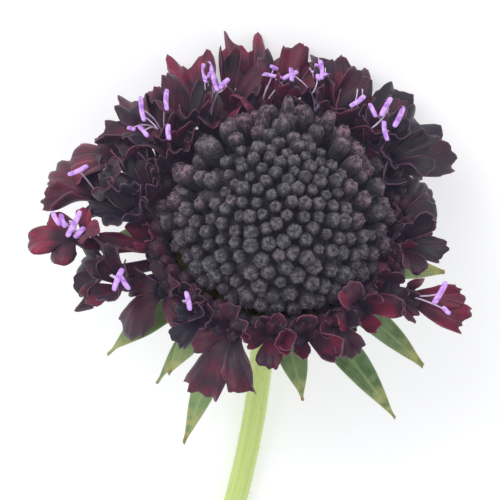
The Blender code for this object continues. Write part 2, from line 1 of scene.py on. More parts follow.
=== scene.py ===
"""The looks of a cut scabiosa flower that lies on a pale table.

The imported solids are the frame. Finer pieces stand for them here: knobbly buds, ruffled
florets with stamens, veined bracts and a ribbed stem, each with its own finish.
All sizes are in metres. Sizes of the head are in its own frame, whose +Z is the flower's
axis and whose Z = 0 is the plane of the ring of florets.
"""

from __future__ import annotations

import logging
import math
from dataclasses import dataclass, field
from enum import Enum

import bpy
import numpy as np
from mathutils import Matrix, Vector

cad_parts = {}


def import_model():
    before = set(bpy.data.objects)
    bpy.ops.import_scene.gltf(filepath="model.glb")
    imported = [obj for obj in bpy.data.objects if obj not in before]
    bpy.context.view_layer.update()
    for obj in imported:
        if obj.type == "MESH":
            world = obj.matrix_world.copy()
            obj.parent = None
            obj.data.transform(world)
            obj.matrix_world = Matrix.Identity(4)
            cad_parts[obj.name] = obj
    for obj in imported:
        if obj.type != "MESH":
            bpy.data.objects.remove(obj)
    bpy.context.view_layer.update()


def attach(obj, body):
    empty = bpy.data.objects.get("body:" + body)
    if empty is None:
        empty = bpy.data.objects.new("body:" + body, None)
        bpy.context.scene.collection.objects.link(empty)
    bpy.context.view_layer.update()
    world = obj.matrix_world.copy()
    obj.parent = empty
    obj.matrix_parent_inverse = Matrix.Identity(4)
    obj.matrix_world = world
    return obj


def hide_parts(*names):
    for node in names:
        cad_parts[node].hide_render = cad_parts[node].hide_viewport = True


LOG = logging.getLogger("scabiosa_flower")
MM = 0.001
TURN = 2.0 * math.pi
GOLDEN_TURN = math.pi * (3.0 - math.sqrt(5.0))
PIXEL = 0.125 * MM
ASKEW = np.array((0.31, 0.52, 0.79))
UP = np.array((0.0, 0.0, 1.0))
Array = np.ndarray
Colour = tuple[float, float, float]


def unit(vectors: Array) -> Array:
    """The vectors scaled to length one."""
    return vectors / np.maximum(np.linalg.norm(vectors, axis=-1, keepdims=True), 1e-12)


def radial_at(azimuth: float) -> Array:
    """The direction straight away from the head's axis at this turn round it."""
    return np.array((math.cos(azimuth), math.sin(azimuth), 0.0))


def smooth(value: Array, start: float, end: float) -> Array:
    """An S-shaped rise from 0 at start to 1 at end: 3t squared less 2t cubed."""
    t = np.clip((value - start) / (end - start), 0.0, 1.0)
    return t * t * (3.0 - 2.0 * t)


# Skins: numpy surfaces gathered into meshes


def grid_quads(rows: int, columns: int, closed: bool) -> Array:
    """Quads of a grid of points, row by row.

    Args:
        rows: points along the surface.
        columns: points across it.
        closed: whether the last column joins the first.

    Returns:
        The corners of each quad, four indices a row.
    """
    across = np.arange(columns if closed else columns - 1)
    row = np.arange(rows - 1)[:, None] * columns
    following = (across + 1) % columns
    quads = np.stack((row + across, row + following, row + columns + following, row + columns + across), -1)
    return quads.reshape(-1, 4)


@dataclass
class Skin:
    """Surfaces gathered into one mesh, with a UV place and a tone for each point."""

    points: list[Array] = field(default_factory=list)
    quads: list[Array] = field(default_factory=list)
    triangles: list[Array] = field(default_factory=list)
    places: list[Array] = field(default_factory=list)
    tones: list[Array] = field(default_factory=list)
    count: int = 0

    def add(self, points: Array, quads: Array, triangles: Array, places: Array, tone: Array | float) -> None:
        """Adds one closed surface, turned to face outwards.

        Args:
            points: its points, three numbers each.
            quads: its quads, by the points' numbers.
            triangles: its triangles, by the points' numbers.
            places: the UV place of each point.
            tone: one value for all points, or one for each.
        """
        halves = np.concatenate((quads[:, [0, 1, 2]], quads[:, [0, 2, 3]], triangles.reshape(-1, 3)))
        local = points - points.mean(axis=0)
        if np.linalg.det(local[halves]).sum() < 0.0:
            quads, triangles = quads[:, ::-1], triangles[:, ::-1]
        self.points.append(points)
        self.quads.append(quads + self.count)
        self.triangles.append(triangles.reshape(-1, 3) + self.count)
        self.places.append(places)
        self.tones.append(np.broadcast_to(np.asarray(tone, float), (len(points),)))
        self.count += len(points)

    def add_tube(self, rings: Array, tone: Array | float = 0.5) -> None:
        """Adds rings of points as a tube whose ends are closed by a middle point.

        Args:
            rings: points by station, round the tube and axis.
            tone: one value, or one for each station.
        """
        stations, columns = rings.shape[:2]
        ends = np.stack((rings[0].mean(axis=0), rings[-1].mean(axis=0)))
        points = np.concatenate((rings.reshape(-1, 3), ends))
        column = np.arange(columns)
        following = (column + 1) % columns
        first, last = stations * columns, stations * columns + 1
        base = (stations - 1) * columns
        fans = np.concatenate(
            (
                np.stack((np.full(columns, first), following, column), -1),
                np.stack((np.full(columns, last), base + column, base + following), -1),
            )
        )
        along, around = np.meshgrid(np.linspace(0, 1, stations), column / columns, indexing="ij")
        places = np.concatenate((np.stack((around, along), -1).reshape(-1, 2), ((0.5, 0.0), (0.5, 1.0))))
        if np.ndim(tone) == 1:
            tone = np.concatenate((np.repeat(tone, columns), (tone[0], tone[-1])))
        self.add(points, grid_quads(stations, columns, True), fans, places, tone)

    def add_blade(self, middle: Array, thickness: Array, tone: Array | float) -> None:
        """Adds a thin blade: the middle surface moved half its thickness to either side.

        Args:
            middle: points by row from root to tip, column across, and axis.
            thickness: wall at each point.
            tone: one value, or one for each point of the middle surface.
        """
        rows, columns = middle.shape[:2]
        normal = unit(np.cross(np.gradient(middle, axis=0), np.gradient(middle, axis=1)))
        half = 0.5 * thickness[..., None] * normal
        ring = np.concatenate((middle + half, (middle - half)[:, ::-1]), axis=1)
        column = np.arange(columns - 1)
        low = np.stack((column, 2 * columns - 1 - column, 2 * columns - 2 - column, column + 1), -1)
        high = low[:, ::-1] + (rows - 1) * 2 * columns
        quads = np.concatenate((grid_quads(rows, 2 * columns, True), low, high))
        across = np.linspace(0.0, 1.0, columns)
        across = np.concatenate((across, across[::-1]))
        along, around = np.meshgrid(np.linspace(0, 1, rows), across, indexing="ij")
        places = np.stack((around, along), -1).reshape(-1, 2)
        if np.ndim(tone) == 2:
            tone = np.concatenate((tone, tone[:, ::-1]), axis=1).reshape(-1)
        self.add(ring.reshape(-1, 3), quads, np.empty((0, 3), int), places, tone)

    def build(self, name: str, material: bpy.types.Material, slot: str) -> bpy.types.Object:
        """Makes the object, which rides on the root body.

        Args:
            name: the piece's name.
            material: its finish.
            slot: the record's material slot; not used.

        Returns:
            The new object.
        """
        faces = np.concatenate(self.quads).tolist() + np.concatenate(self.triangles).tolist()
        mesh = bpy.data.meshes.new(name)
        mesh.from_pydata(np.concatenate(self.points).tolist(), [], faces)
        corners = np.empty(len(mesh.loops), np.int32)
        mesh.loops.foreach_get("vertex_index", corners)
        layer = mesh.uv_layers.new(name="surface")
        layer.uv.foreach_set("vector", np.concatenate(self.places)[corners].astype(np.float32).ravel())
        tone = mesh.attributes.new("tone", "FLOAT", "POINT")
        tone.data.foreach_set("value", np.concatenate(self.tones).astype(np.float32))
        mesh.shade_smooth()
        mesh.materials.append(material)
        obj = bpy.data.objects.new(name, mesh)
        bpy.context.scene.collection.objects.link(obj)
        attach(obj, "root")
        LOG.info("%s: %d faces", name, len(faces))
        return obj


def tube_rings(path: Array, radii: Array, columns: int, ribs: int = 0, rib_height: float = 0.0) -> Array:
    """Circles carried along a path, each square to the path.

    Args:
        path: points of the middle line.
        radii: radius at each point.
        columns: points round each circle.
        ribs: number of ribs round the tube.
        rib_height: how far a rib stands out, in metres.

    Returns:
        Points by station, round the tube, and axis.
    """
    along = unit(np.gradient(path, axis=0))
    across = unit(np.cross(along, ASKEW))
    other = np.cross(along, across)
    turn = TURN * np.arange(columns) / columns
    radius = radii[:, None] + rib_height * np.cos(ribs * turn)[None, :] * (ribs > 0)
    circle = np.cos(turn)[:, None] * across[:, None, :] + np.sin(turn)[:, None] * other[:, None, :]
    return path[:, None, :] + radius[..., None] * circle


# Finishes


class Wiring:
    """A material under construction: its node tree with short calls to add to it."""

    def __init__(self, name: str, roughness: float) -> None:
        """Starts a Principled material of this name and roughness."""
        self.material = bpy.data.materials.new(name)
        self.material.use_nodes = True
        self.tree = self.material.node_tree
        self.shader = self.tree.nodes["Principled BSDF"]
        self.shader.inputs["Roughness"].default_value = roughness

    def node(self, kind: str, **settings: object) -> bpy.types.Node:
        """Adds a node of this kind with these settings."""
        made = self.tree.nodes.new(kind)
        for key, value in settings.items():
            setattr(made, key, value)
        return made

    def feed(self, socket: bpy.types.NodeSocket, value: object) -> None:
        """Links a socket to this input, or sets its value."""
        if isinstance(value, bpy.types.NodeSocket):
            self.tree.links.new(value, socket)
        elif isinstance(value, tuple) and socket.type == "RGBA":
            socket.default_value = (*value, 1.0)
        else:
            socket.default_value = value

    def mix(self, share: object, first: object, second: object) -> bpy.types.NodeSocket:
        """The first colour turning to the second by the share."""
        node = self.node("ShaderNodeMix", data_type="RGBA")
        self.feed(node.inputs["Factor"], share)
        self.feed(node.inputs["A"], first)
        self.feed(node.inputs["B"], second)
        return node.outputs["Result"]

    def math(self, operation: str, first: object, second: object = 0.0) -> bpy.types.NodeSocket:
        """Arithmetic on two numbers."""
        node = self.node("ShaderNodeMath", operation=operation)
        self.feed(node.inputs[0], first)
        self.feed(node.inputs[1], second)
        return node.outputs[0]

    def times(self, first: object, second: object) -> bpy.types.NodeSocket:
        """The product of two numbers."""
        return self.math("MULTIPLY", first, second)

    def inverse(self, share: object) -> bpy.types.NodeSocket:
        """What is left of one."""
        return self.math("SUBTRACT", 1.0, share)

    def off_middle(self, place: object) -> bpy.types.NodeSocket:
        """How far a place from 0 to 1 is from the middle."""
        return self.math("ABSOLUTE", self.math("SUBTRACT", place, 0.5))

    def between(self, value: object, low: float, high: float) -> bpy.types.NodeSocket:
        """A share from 0 to 1 spread evenly from low to high."""
        node = self.node("ShaderNodeMapRange")
        self.feed(node.inputs["Value"], value)
        node.inputs["To Min"].default_value = low
        node.inputs["To Max"].default_value = high
        return node.outputs["Result"]

    def stretch(self, value: object, start: float, end: float) -> bpy.types.NodeSocket:
        """The value spread so that start becomes 0 and end 1, with soft ends."""
        node = self.node("ShaderNodeMapRange", interpolation_type="SMOOTHSTEP")
        self.feed(node.inputs["Value"], value)
        node.inputs["From Min"].default_value = start
        node.inputs["From Max"].default_value = end
        return node.outputs["Result"]

    def noise(self, scale: float, detail: float = 3.0, place: object = None) -> bpy.types.NodeSocket:
        """Cloudy noise on object coordinates, or on the place that is given."""
        node = self.node("ShaderNodeTexNoise")
        self.feed(node.inputs["Vector"], place or self.node("ShaderNodeTexCoord").outputs["Object"])
        node.inputs["Scale"].default_value = scale
        node.inputs["Detail"].default_value = detail
        return node.outputs["Fac"]

    def surface(self) -> tuple[bpy.types.NodeSocket, bpy.types.NodeSocket]:
        """Places across (0 to 1) and along (0 to 1) the piece's own surface."""
        split = self.node("ShaderNodeSeparateXYZ")
        self.feed(split.inputs[0], self.node("ShaderNodeUVMap", uv_map="surface").outputs["UV"])
        return split.outputs["X"], split.outputs["Y"]

    def scaled_surface(self, across: float, along: float) -> bpy.types.NodeSocket:
        """The piece's own surface coordinates, multiplied across and along."""
        node = self.node("ShaderNodeMapping")
        self.feed(node.inputs["Vector"], self.node("ShaderNodeUVMap", uv_map="surface").outputs["UV"])
        node.inputs["Scale"].default_value = (across, along, 1.0)
        return node.outputs["Vector"]

    def tone(self) -> bpy.types.NodeSocket:
        """The tone painted on each point."""
        return self.node("ShaderNodeAttribute", attribute_name="tone").outputs["Fac"]

    def bump(self, height: object, strength: float, distance: float) -> None:
        """Raises the surface by the height."""
        node = self.node("ShaderNodeBump")
        self.feed(node.inputs["Height"], height)
        node.inputs["Strength"].default_value = strength
        node.inputs["Distance"].default_value = distance
        self.feed(self.shader.inputs["Normal"], node.outputs["Normal"])

    def sheen(self, weight: float, tint: Colour, roughness: float) -> None:
        """A soft shine of fine hairs at grazing angles."""
        self.shader.inputs["Sheen Weight"].default_value = weight
        self.shader.inputs["Sheen Tint"].default_value = (*tint, 1.0)
        self.shader.inputs["Sheen Roughness"].default_value = roughness

    def give_off_light(self, tint: Colour, strength: float) -> None:
        """Makes the surface give off a faint even light of its own."""
        self.feed(self.shader.inputs["Emission Color"], tint)
        self.feed(self.shader.inputs["Emission Strength"], strength)

    def shine(self, level: float) -> None:
        """Sets how strongly the surface mirrors."""
        self.shader.inputs["Specular IOR Level"].default_value = level

    def flesh(self, weight: float, depths: Colour) -> None:
        """Lets light in to these depths for red, green and blue."""
        self.shader.inputs["Subsurface Weight"].default_value = weight
        self.shader.inputs["Subsurface Radius"].default_value = depths

    def colour(self, value: object) -> None:
        """Sets the base colour."""
        self.feed(self.shader.inputs["Base Color"], value)


@dataclass(frozen=True)
class PetalFinish:
    """Dark velvet petals: painted light makes them maroon where lit and thin, painted shade makes them near
    black in the folds, and a painted highlight makes them paler at the edges.
    """

    # deep is the petals in painted shade, lit their maroon in painted light, and edge a painted highlight.
    deep: Colour = (0.011, 0.009, 0.015)
    lit: Colour = (0.27, 0.010, 0.045)
    edge: Colour = (0.20, 0.075, 0.12)
    down: Colour = (0.65, 0.5, 0.8)
    painted_glow_tint: Colour = (0.7, 0.6, 1.0)
    painted_glow_strength: float = 0.018
    cloud_scale: float = 260.0
    grain_scale: float = 5200.0
    vein_scale: tuple[float, float] = (26.0, 1.6)
    relief: float = 0.05 * MM

    def material(self) -> bpy.types.Material:
        """Builds the material: tone sets how red a petal is, from painted shade to painted light, with veins
        along it.
        """
        w = Wiring("petal_velvet", 0.45)
        across, along = w.surface()
        cloud = w.stretch(w.noise(self.cloud_scale, 4.0), 0.36, 0.64)
        vein = w.stretch(w.noise(1.0, 2.0, w.scaled_surface(*self.vein_scale)), 0.42, 0.62)
        # Painted light and shade: tone and cloudy patches turn the near-black shade to lit maroon.
        red = w.times(w.tone(), w.between(cloud, 0.15, 1.2))
        base = w.mix(red, self.deep, self.lit)
        base = w.mix(w.times(vein, 0.35), base, self.deep)
        # Painted highlight: a paler rim along the lobe's sides and tip.
        rim = w.stretch(w.off_middle(across), 0.465, 0.5)
        rim = w.math("MAXIMUM", rim, w.stretch(along, 0.97, 1.0))
        w.colour(w.mix(w.times(rim, 0.6), base, self.edge))
        w.bump(w.math("ADD", vein, w.noise(self.grain_scale, 2.0)), 0.5, self.relief)
        w.sheen(0.10, self.down, 0.4)
        # Painted glow: the petals give off a faint light of their own, which lifts their shade.
        w.give_off_light(self.painted_glow_tint, self.painted_glow_strength)
        w.shine(0.35)
        return w.material


@dataclass(frozen=True)
class BudFinish:
    """Closed buds: charcoal purple, finely downy, redder towards the rim, with painted highlights on their
    tops and painted shade towards their feet.
    """

    # dark is the buds in painted shade; pale and red are their lit colours.
    dark: Colour = (0.014, 0.012, 0.016)
    pale: Colour = (0.19, 0.172, 0.20)
    red: Colour = (0.36, 0.19, 0.27)
    down: Colour = (0.75, 0.7, 0.8)
    painted_glow_tint: Colour = (0.7, 0.66, 1.0)
    painted_glow_strength: float = 0.014
    petals: float = 5.0
    lump_scale: float = 1500.0
    fuzz_scale: float = 5200.0
    relief: float = 0.14 * MM

    def material(self) -> bpy.types.Material:
        """Builds the material: tone turns it from charcoal to red, lumps get painted highlights, petal seams
        are paler, and painted shade darkens each bud towards its foot.
        """
        w = Wiring("bud_down", 0.55)
        across, along = w.surface()
        lump = w.stretch(w.noise(self.lump_scale, 2.0), 0.40, 0.62)
        fuzz = w.stretch(w.noise(self.fuzz_scale, 3.0), 0.34, 0.70)
        seam = w.off_middle(w.math("FRACT", w.times(across, self.petals)))
        seam = w.inverse(w.stretch(seam, 0.02, 0.14))
        # Painted highlights on the lumps and fine down, paler seams, and painted shade towards the foot,
        # where the buds crowd.
        tip = w.stretch(along, 0.30, 0.80)
        light = w.times(w.between(lump, 0.15, 1.0), w.between(fuzz, 0.45, 1.0))
        light = w.times(w.math("ADD", light, w.times(seam, 0.35)), tip)
        w.colour(w.mix(light, self.dark, w.mix(w.tone(), self.pale, self.red)))
        w.bump(w.math("ADD", w.times(lump, 1.4), fuzz), 0.6, self.relief)
        w.sheen(0.12, self.down, 0.4)
        # Painted glow: the buds give off a faint light of their own, which lifts their shade.
        w.give_off_light(self.painted_glow_tint, self.painted_glow_strength)
        w.shine(0.4)
        return w.material


@dataclass(frozen=True)
class AntherFinish:
    """Lilac anthers and their paler threads: tone 0 is a thread, tone 1 an anther."""

    thread: Colour = (0.74, 0.60, 0.82)
    light: Colour = (0.70, 0.42, 0.92)
    shade: Colour = (0.40, 0.16, 0.62)
    depths: Colour = (0.0004, 0.0003, 0.0004)

    def material(self) -> bpy.types.Material:
        """Builds the material, mottled with grains of pollen."""
        w = Wiring("lilac_anther", 0.5)
        grain = w.stretch(w.noise(1500.0, 2.0), 0.30, 0.62)
        body = w.mix(grain, self.shade, self.light)
        w.colour(w.mix(w.tone(), self.thread, body))
        w.bump(w.noise(6000.0, 2.0), 0.2, 0.03 * MM)
        w.flesh(0.1, self.depths)
        return w.material


@dataclass(frozen=True)
class LeafFinish:
    """Bracts: mid green with a paler midrib and edges, yellowing towards the tip."""

    green: Colour = (0.065, 0.138, 0.046)
    pale: Colour = (0.29, 0.42, 0.17)
    tip: Colour = (0.52, 0.46, 0.16)
    brown: Colour = (0.22, 0.11, 0.035)
    down: Colour = (0.9, 1.0, 0.8)
    cloud_scale: float = 700.0
    vein_scale: tuple[float, float] = (14.0, 3.0)
    relief: float = 0.08 * MM

    def material(self) -> bpy.types.Material:
        """Builds the material: tone makes a bract paler as a whole."""
        w = Wiring("bract_leaf", 0.5)
        across, along = w.surface()
        middle = w.off_middle(across)
        cloud = w.noise(self.cloud_scale, 4.0)
        veins = w.stretch(w.noise(1.0, 2.0, w.scaled_surface(*self.vein_scale)), 0.4, 0.66)
        base = w.mix(w.times(w.stretch(cloud, 0.35, 0.7), 0.45), self.green, self.pale)
        base = w.mix(w.times(veins, 0.22), base, self.pale)
        base = w.mix(w.tone(), base, self.pale)
        rib = w.inverse(w.stretch(middle, 0.03, 0.09))
        rim = w.stretch(middle, 0.42, 0.5)
        base = w.mix(w.times(w.math("MAXIMUM", rib, rim), 0.55), base, self.pale)
        aged = w.times(w.stretch(along, 0.70, 0.98), w.stretch(cloud, 0.3, 0.6))
        base = w.mix(w.times(aged, 0.8), base, self.tip)
        burnt = w.times(w.stretch(along, 0.93, 1.0), w.stretch(cloud, 0.45, 0.55))
        w.colour(w.mix(w.times(burnt, 0.8), base, self.brown))
        w.bump(w.math("SUBTRACT", veins, rib), 0.35, self.relief)
        w.sheen(0.2, self.down, 0.5)
        return w.material


@dataclass(frozen=True)
class StalkFinish:
    """The stem: yellow green and faintly ribbed, more olive under the head."""

    light: Colour = (0.61, 0.73, 0.25)
    deep: Colour = (0.52, 0.65, 0.20)
    olive: Colour = (0.52, 0.46, 0.18)
    down: Colour = (1.0, 1.0, 0.9)
    depths: Colour = (0.0006, 0.0008, 0.0003)

    def material(self) -> bpy.types.Material:
        """Builds the material: the share along the stem turns it from olive to green."""
        w = Wiring("stalk_skin", 0.42)
        _, along = w.surface()
        streak = w.stretch(w.noise(1.0, 3.0, w.scaled_surface(22.0, 5.0)), 0.35, 0.7)
        base = w.mix(streak, self.deep, self.light)
        top = w.inverse(w.stretch(along, 0.03, 0.28))
        w.colour(w.mix(w.times(top, 0.6), base, self.olive))
        w.bump(w.math("ADD", streak, w.noise(2600.0, 2.0)), 0.15, 0.04 * MM)
        w.sheen(0.25, self.down, 0.5)
        w.flesh(0.15, self.depths)
        return w.material


@dataclass(frozen=True)
class CalyxFinish:
    """The florets' calyx cups: dull yellow green, with painted shade making them darker and browner in the
    grooves.
    """

    light: Colour = (0.34, 0.36, 0.13)
    dark: Colour = (0.08, 0.075, 0.035)

    def material(self) -> bpy.types.Material:
        """Builds the material: tone 0 lies in a groove, in painted shade, tone 1 on a rib."""
        w = Wiring("calyx_cup", 0.65)
        fleck = w.stretch(w.noise(2200.0, 3.0), 0.35, 0.7)
        share = w.times(w.tone(), w.between(fleck, 0.4, 1.0))
        w.colour(w.mix(share, self.dark, self.light))
        w.bump(fleck, 0.4, 0.06 * MM)
        return w.material


@dataclass(frozen=True)
class TableFinish:
    """The pale table, which also gives off light, so that the flower's shadow stays faint."""

    colour: Colour = (0.66, 0.66, 0.675)
    glow: float = 0.40

    def material(self) -> bpy.types.Material:
        """Builds the plain material."""
        w = Wiring("pale_table", 0.9)
        w.colour(self.colour)
        w.give_off_light((1.0, 1.0, 1.0), self.glow)
        w.shine(0.1)
        return w.material


# The head and its pieces


@dataclass(frozen=True)
class Head:
    """Pose of the head and the forms that its pieces keep clear of."""

    centre: Array = field(default_factory=lambda: np.array((2.8, 38.3, 19.1)) * MM)
    view_pitch: float = math.radians(15.0)
    tilt: float = math.radians(32.0)
    lean: float = math.radians(8.0)
    dome_shift: float = 1.0 * MM
    dome_radius: float = 12.0 * MM
    dome_height: float = 11.4 * MM
    dome_foot: float = -0.5 * MM
    fringe_reach: float = 13.4 * MM
    fringe_extra: float = 0.6 * MM
    pad_top: float = -0.85 * MM
    pad_bottom: float = -4.4 * MM
    pad_top_radius: float = 12.4 * MM
    pad_bottom_radius: float = 5.6 * MM
    petal_clearance: float = 0.95 * MM
    petal_wall: float = 0.6 * MM
    floor_bend: float = 0.5 * MM
    floor_gap: float = 0.05 * MM
    clear_above: float = 4.0 * MM

    @property
    def turn(self) -> Array:
        """Rotation from the head's frame to the world."""
        turned = (
            Matrix.Rotation(-self.view_pitch, 3, "X")
            @ Matrix.Rotation(-self.lean, 3, "Z")
            @ Matrix.Rotation(-self.tilt, 3, "X")
        )
        return np.array(turned)

    def world(self, points: Array) -> Array:
        """Points of the head's frame in the world."""
        return points @ self.turn.T + self.centre

    @property
    def shift(self) -> Array:
        """From the ring's middle to the dome's."""
        return np.array((self.dome_shift, 0.0, 0.0))

    @property
    def view_axes(self) -> tuple[Array, Array]:
        """The directions seen as right and as up from the viewing side, in the head's frame."""
        up = np.array((0.0, math.cos(self.view_pitch), -math.sin(self.view_pitch)))
        return self.turn.T @ np.array((1.0, 0.0, 0.0)), self.turn.T @ up

    def seen_at(self, right: float, up: float, height: float) -> Array:
        """The point at a height over the ring that is seen this far right and up of the centre."""
        axes = np.array(self.view_axes)
        wanted = np.array((right, up)) - height * axes[:, 2]
        return np.array((*np.linalg.solve(axes[:, :2], wanted), height))

    def reach(self, azimuth: Array) -> Array:
        """How far the half-open buds reach from the axis."""
        return self.fringe_reach + self.fringe_extra * np.clip(np.sin(azimuth), 0.0, 1.0)

    def lift_off_table(self, points: Array, wall: float) -> Array:
        """Points near the table or under it come to lie just above it, along a soft curve."""
        up = self.turn.T @ UP
        height = self.centre[2] + points @ up - (0.5 * wall + self.floor_gap)
        bent = self.floor_bend * np.exp(np.minimum(height - self.floor_bend, 0.0) / self.floor_bend)
        change = np.where(height < self.floor_bend, bent - height, 0.0)
        return points + change[..., None] * up

    def bend_clear(self, points: Array) -> Array:
        """Petal points pushed out of the dome and its fringe, and off the table."""
        points = np.array(points)
        points[..., 0] -= self.dome_shift
        radius = np.hypot(points[..., 0], points[..., 1])
        azimuth = np.arctan2(points[..., 1], points[..., 0])
        keep_out = self.reach(azimuth) + self.petal_clearance
        rise = np.clip(points[..., 2] - self.dome_foot, 0.0, None) / (self.dome_height + self.clear_above)
        limit = keep_out * np.sqrt(np.clip(1.0 - rise**2, 0.0, 1.0))
        inside = (radius < limit) & (points[..., 2] > self.dome_foot + self.pad_top)
        scale = np.where(inside, limit / np.maximum(radius, 1e-9), 1.0)
        points[..., :2] *= scale[..., None]
        points[..., 0] += self.dome_shift
        return self.lift_off_table(points, self.petal_wall)

    def dome_point(self, fall: float, azimuth: float, swell: float) -> tuple[Array, Array]:
        """A point of the dome and its outward normal.

        Args:
            fall: 0 at the apex and a right angle at the rim.
            azimuth: turn round the axis.
            swell: how far outside the dome.

        Returns:
            The point and the normal.
        """
        point = np.array(
            (
                (self.dome_radius + swell) * math.sin(fall) * math.cos(azimuth),
                (self.dome_radius + swell) * math.sin(fall) * math.sin(azimuth),
                (self.dome_height + swell) * math.cos(fall),
            )
        )
        normal = unit(point / np.array((self.dome_radius, self.dome_radius, self.dome_height)) ** 2)
        return point + self.shift, normal


def bud_rings(root: Array, axis: Array, width: float, length: float, spin: float, open_tip: float) -> Array:
    """Rings of one bud: an egg whose top shows five rounded petals folded together.

    The radius swells from the foot, is widest at two thirds and closes over a dimple. Towards
    the top it rises and falls five times round.

    Args:
        root: point where the bud's foot is.
        axis: direction that it grows in.
        width: its widest diameter.
        length: foot to tip.
        spin: turn round its axis.
        open_tip: 0 for a shut bud, 1 for one about to open.

    Returns:
        Points by ring, round the bud, and axis.
    """
    share = np.array((0.0, 0.25, 0.5, 0.7, 0.85, 0.95, 1.0, 0.93))
    radius = np.array((0.30, 0.74, 0.95, 1.0, 0.90, 0.66, 0.36, 0.12 + 0.1 * open_tip))
    lobing = np.array((0.0, 0.02, 0.06, 0.10, 0.17, 0.26, 0.36, 0.4))
    turn = TURN * np.arange(10) / 10 + spin
    petal = np.abs(np.cos(2.5 * (turn - spin))) - 0.6
    across = unit(np.cross(axis, ASKEW))
    other = np.cross(axis, across)
    circle = np.cos(turn)[:, None] * across + np.sin(turn)[:, None] * other
    reach = 0.5 * width * radius[:, None] * (1.0 + lobing[:, None] * petal[None, :])
    rise = length * (share[:, None] + 0.22 * lobing[:, None] * petal[None, :] * (width / length))
    return root + reach[..., None] * circle + rise[..., None] * axis


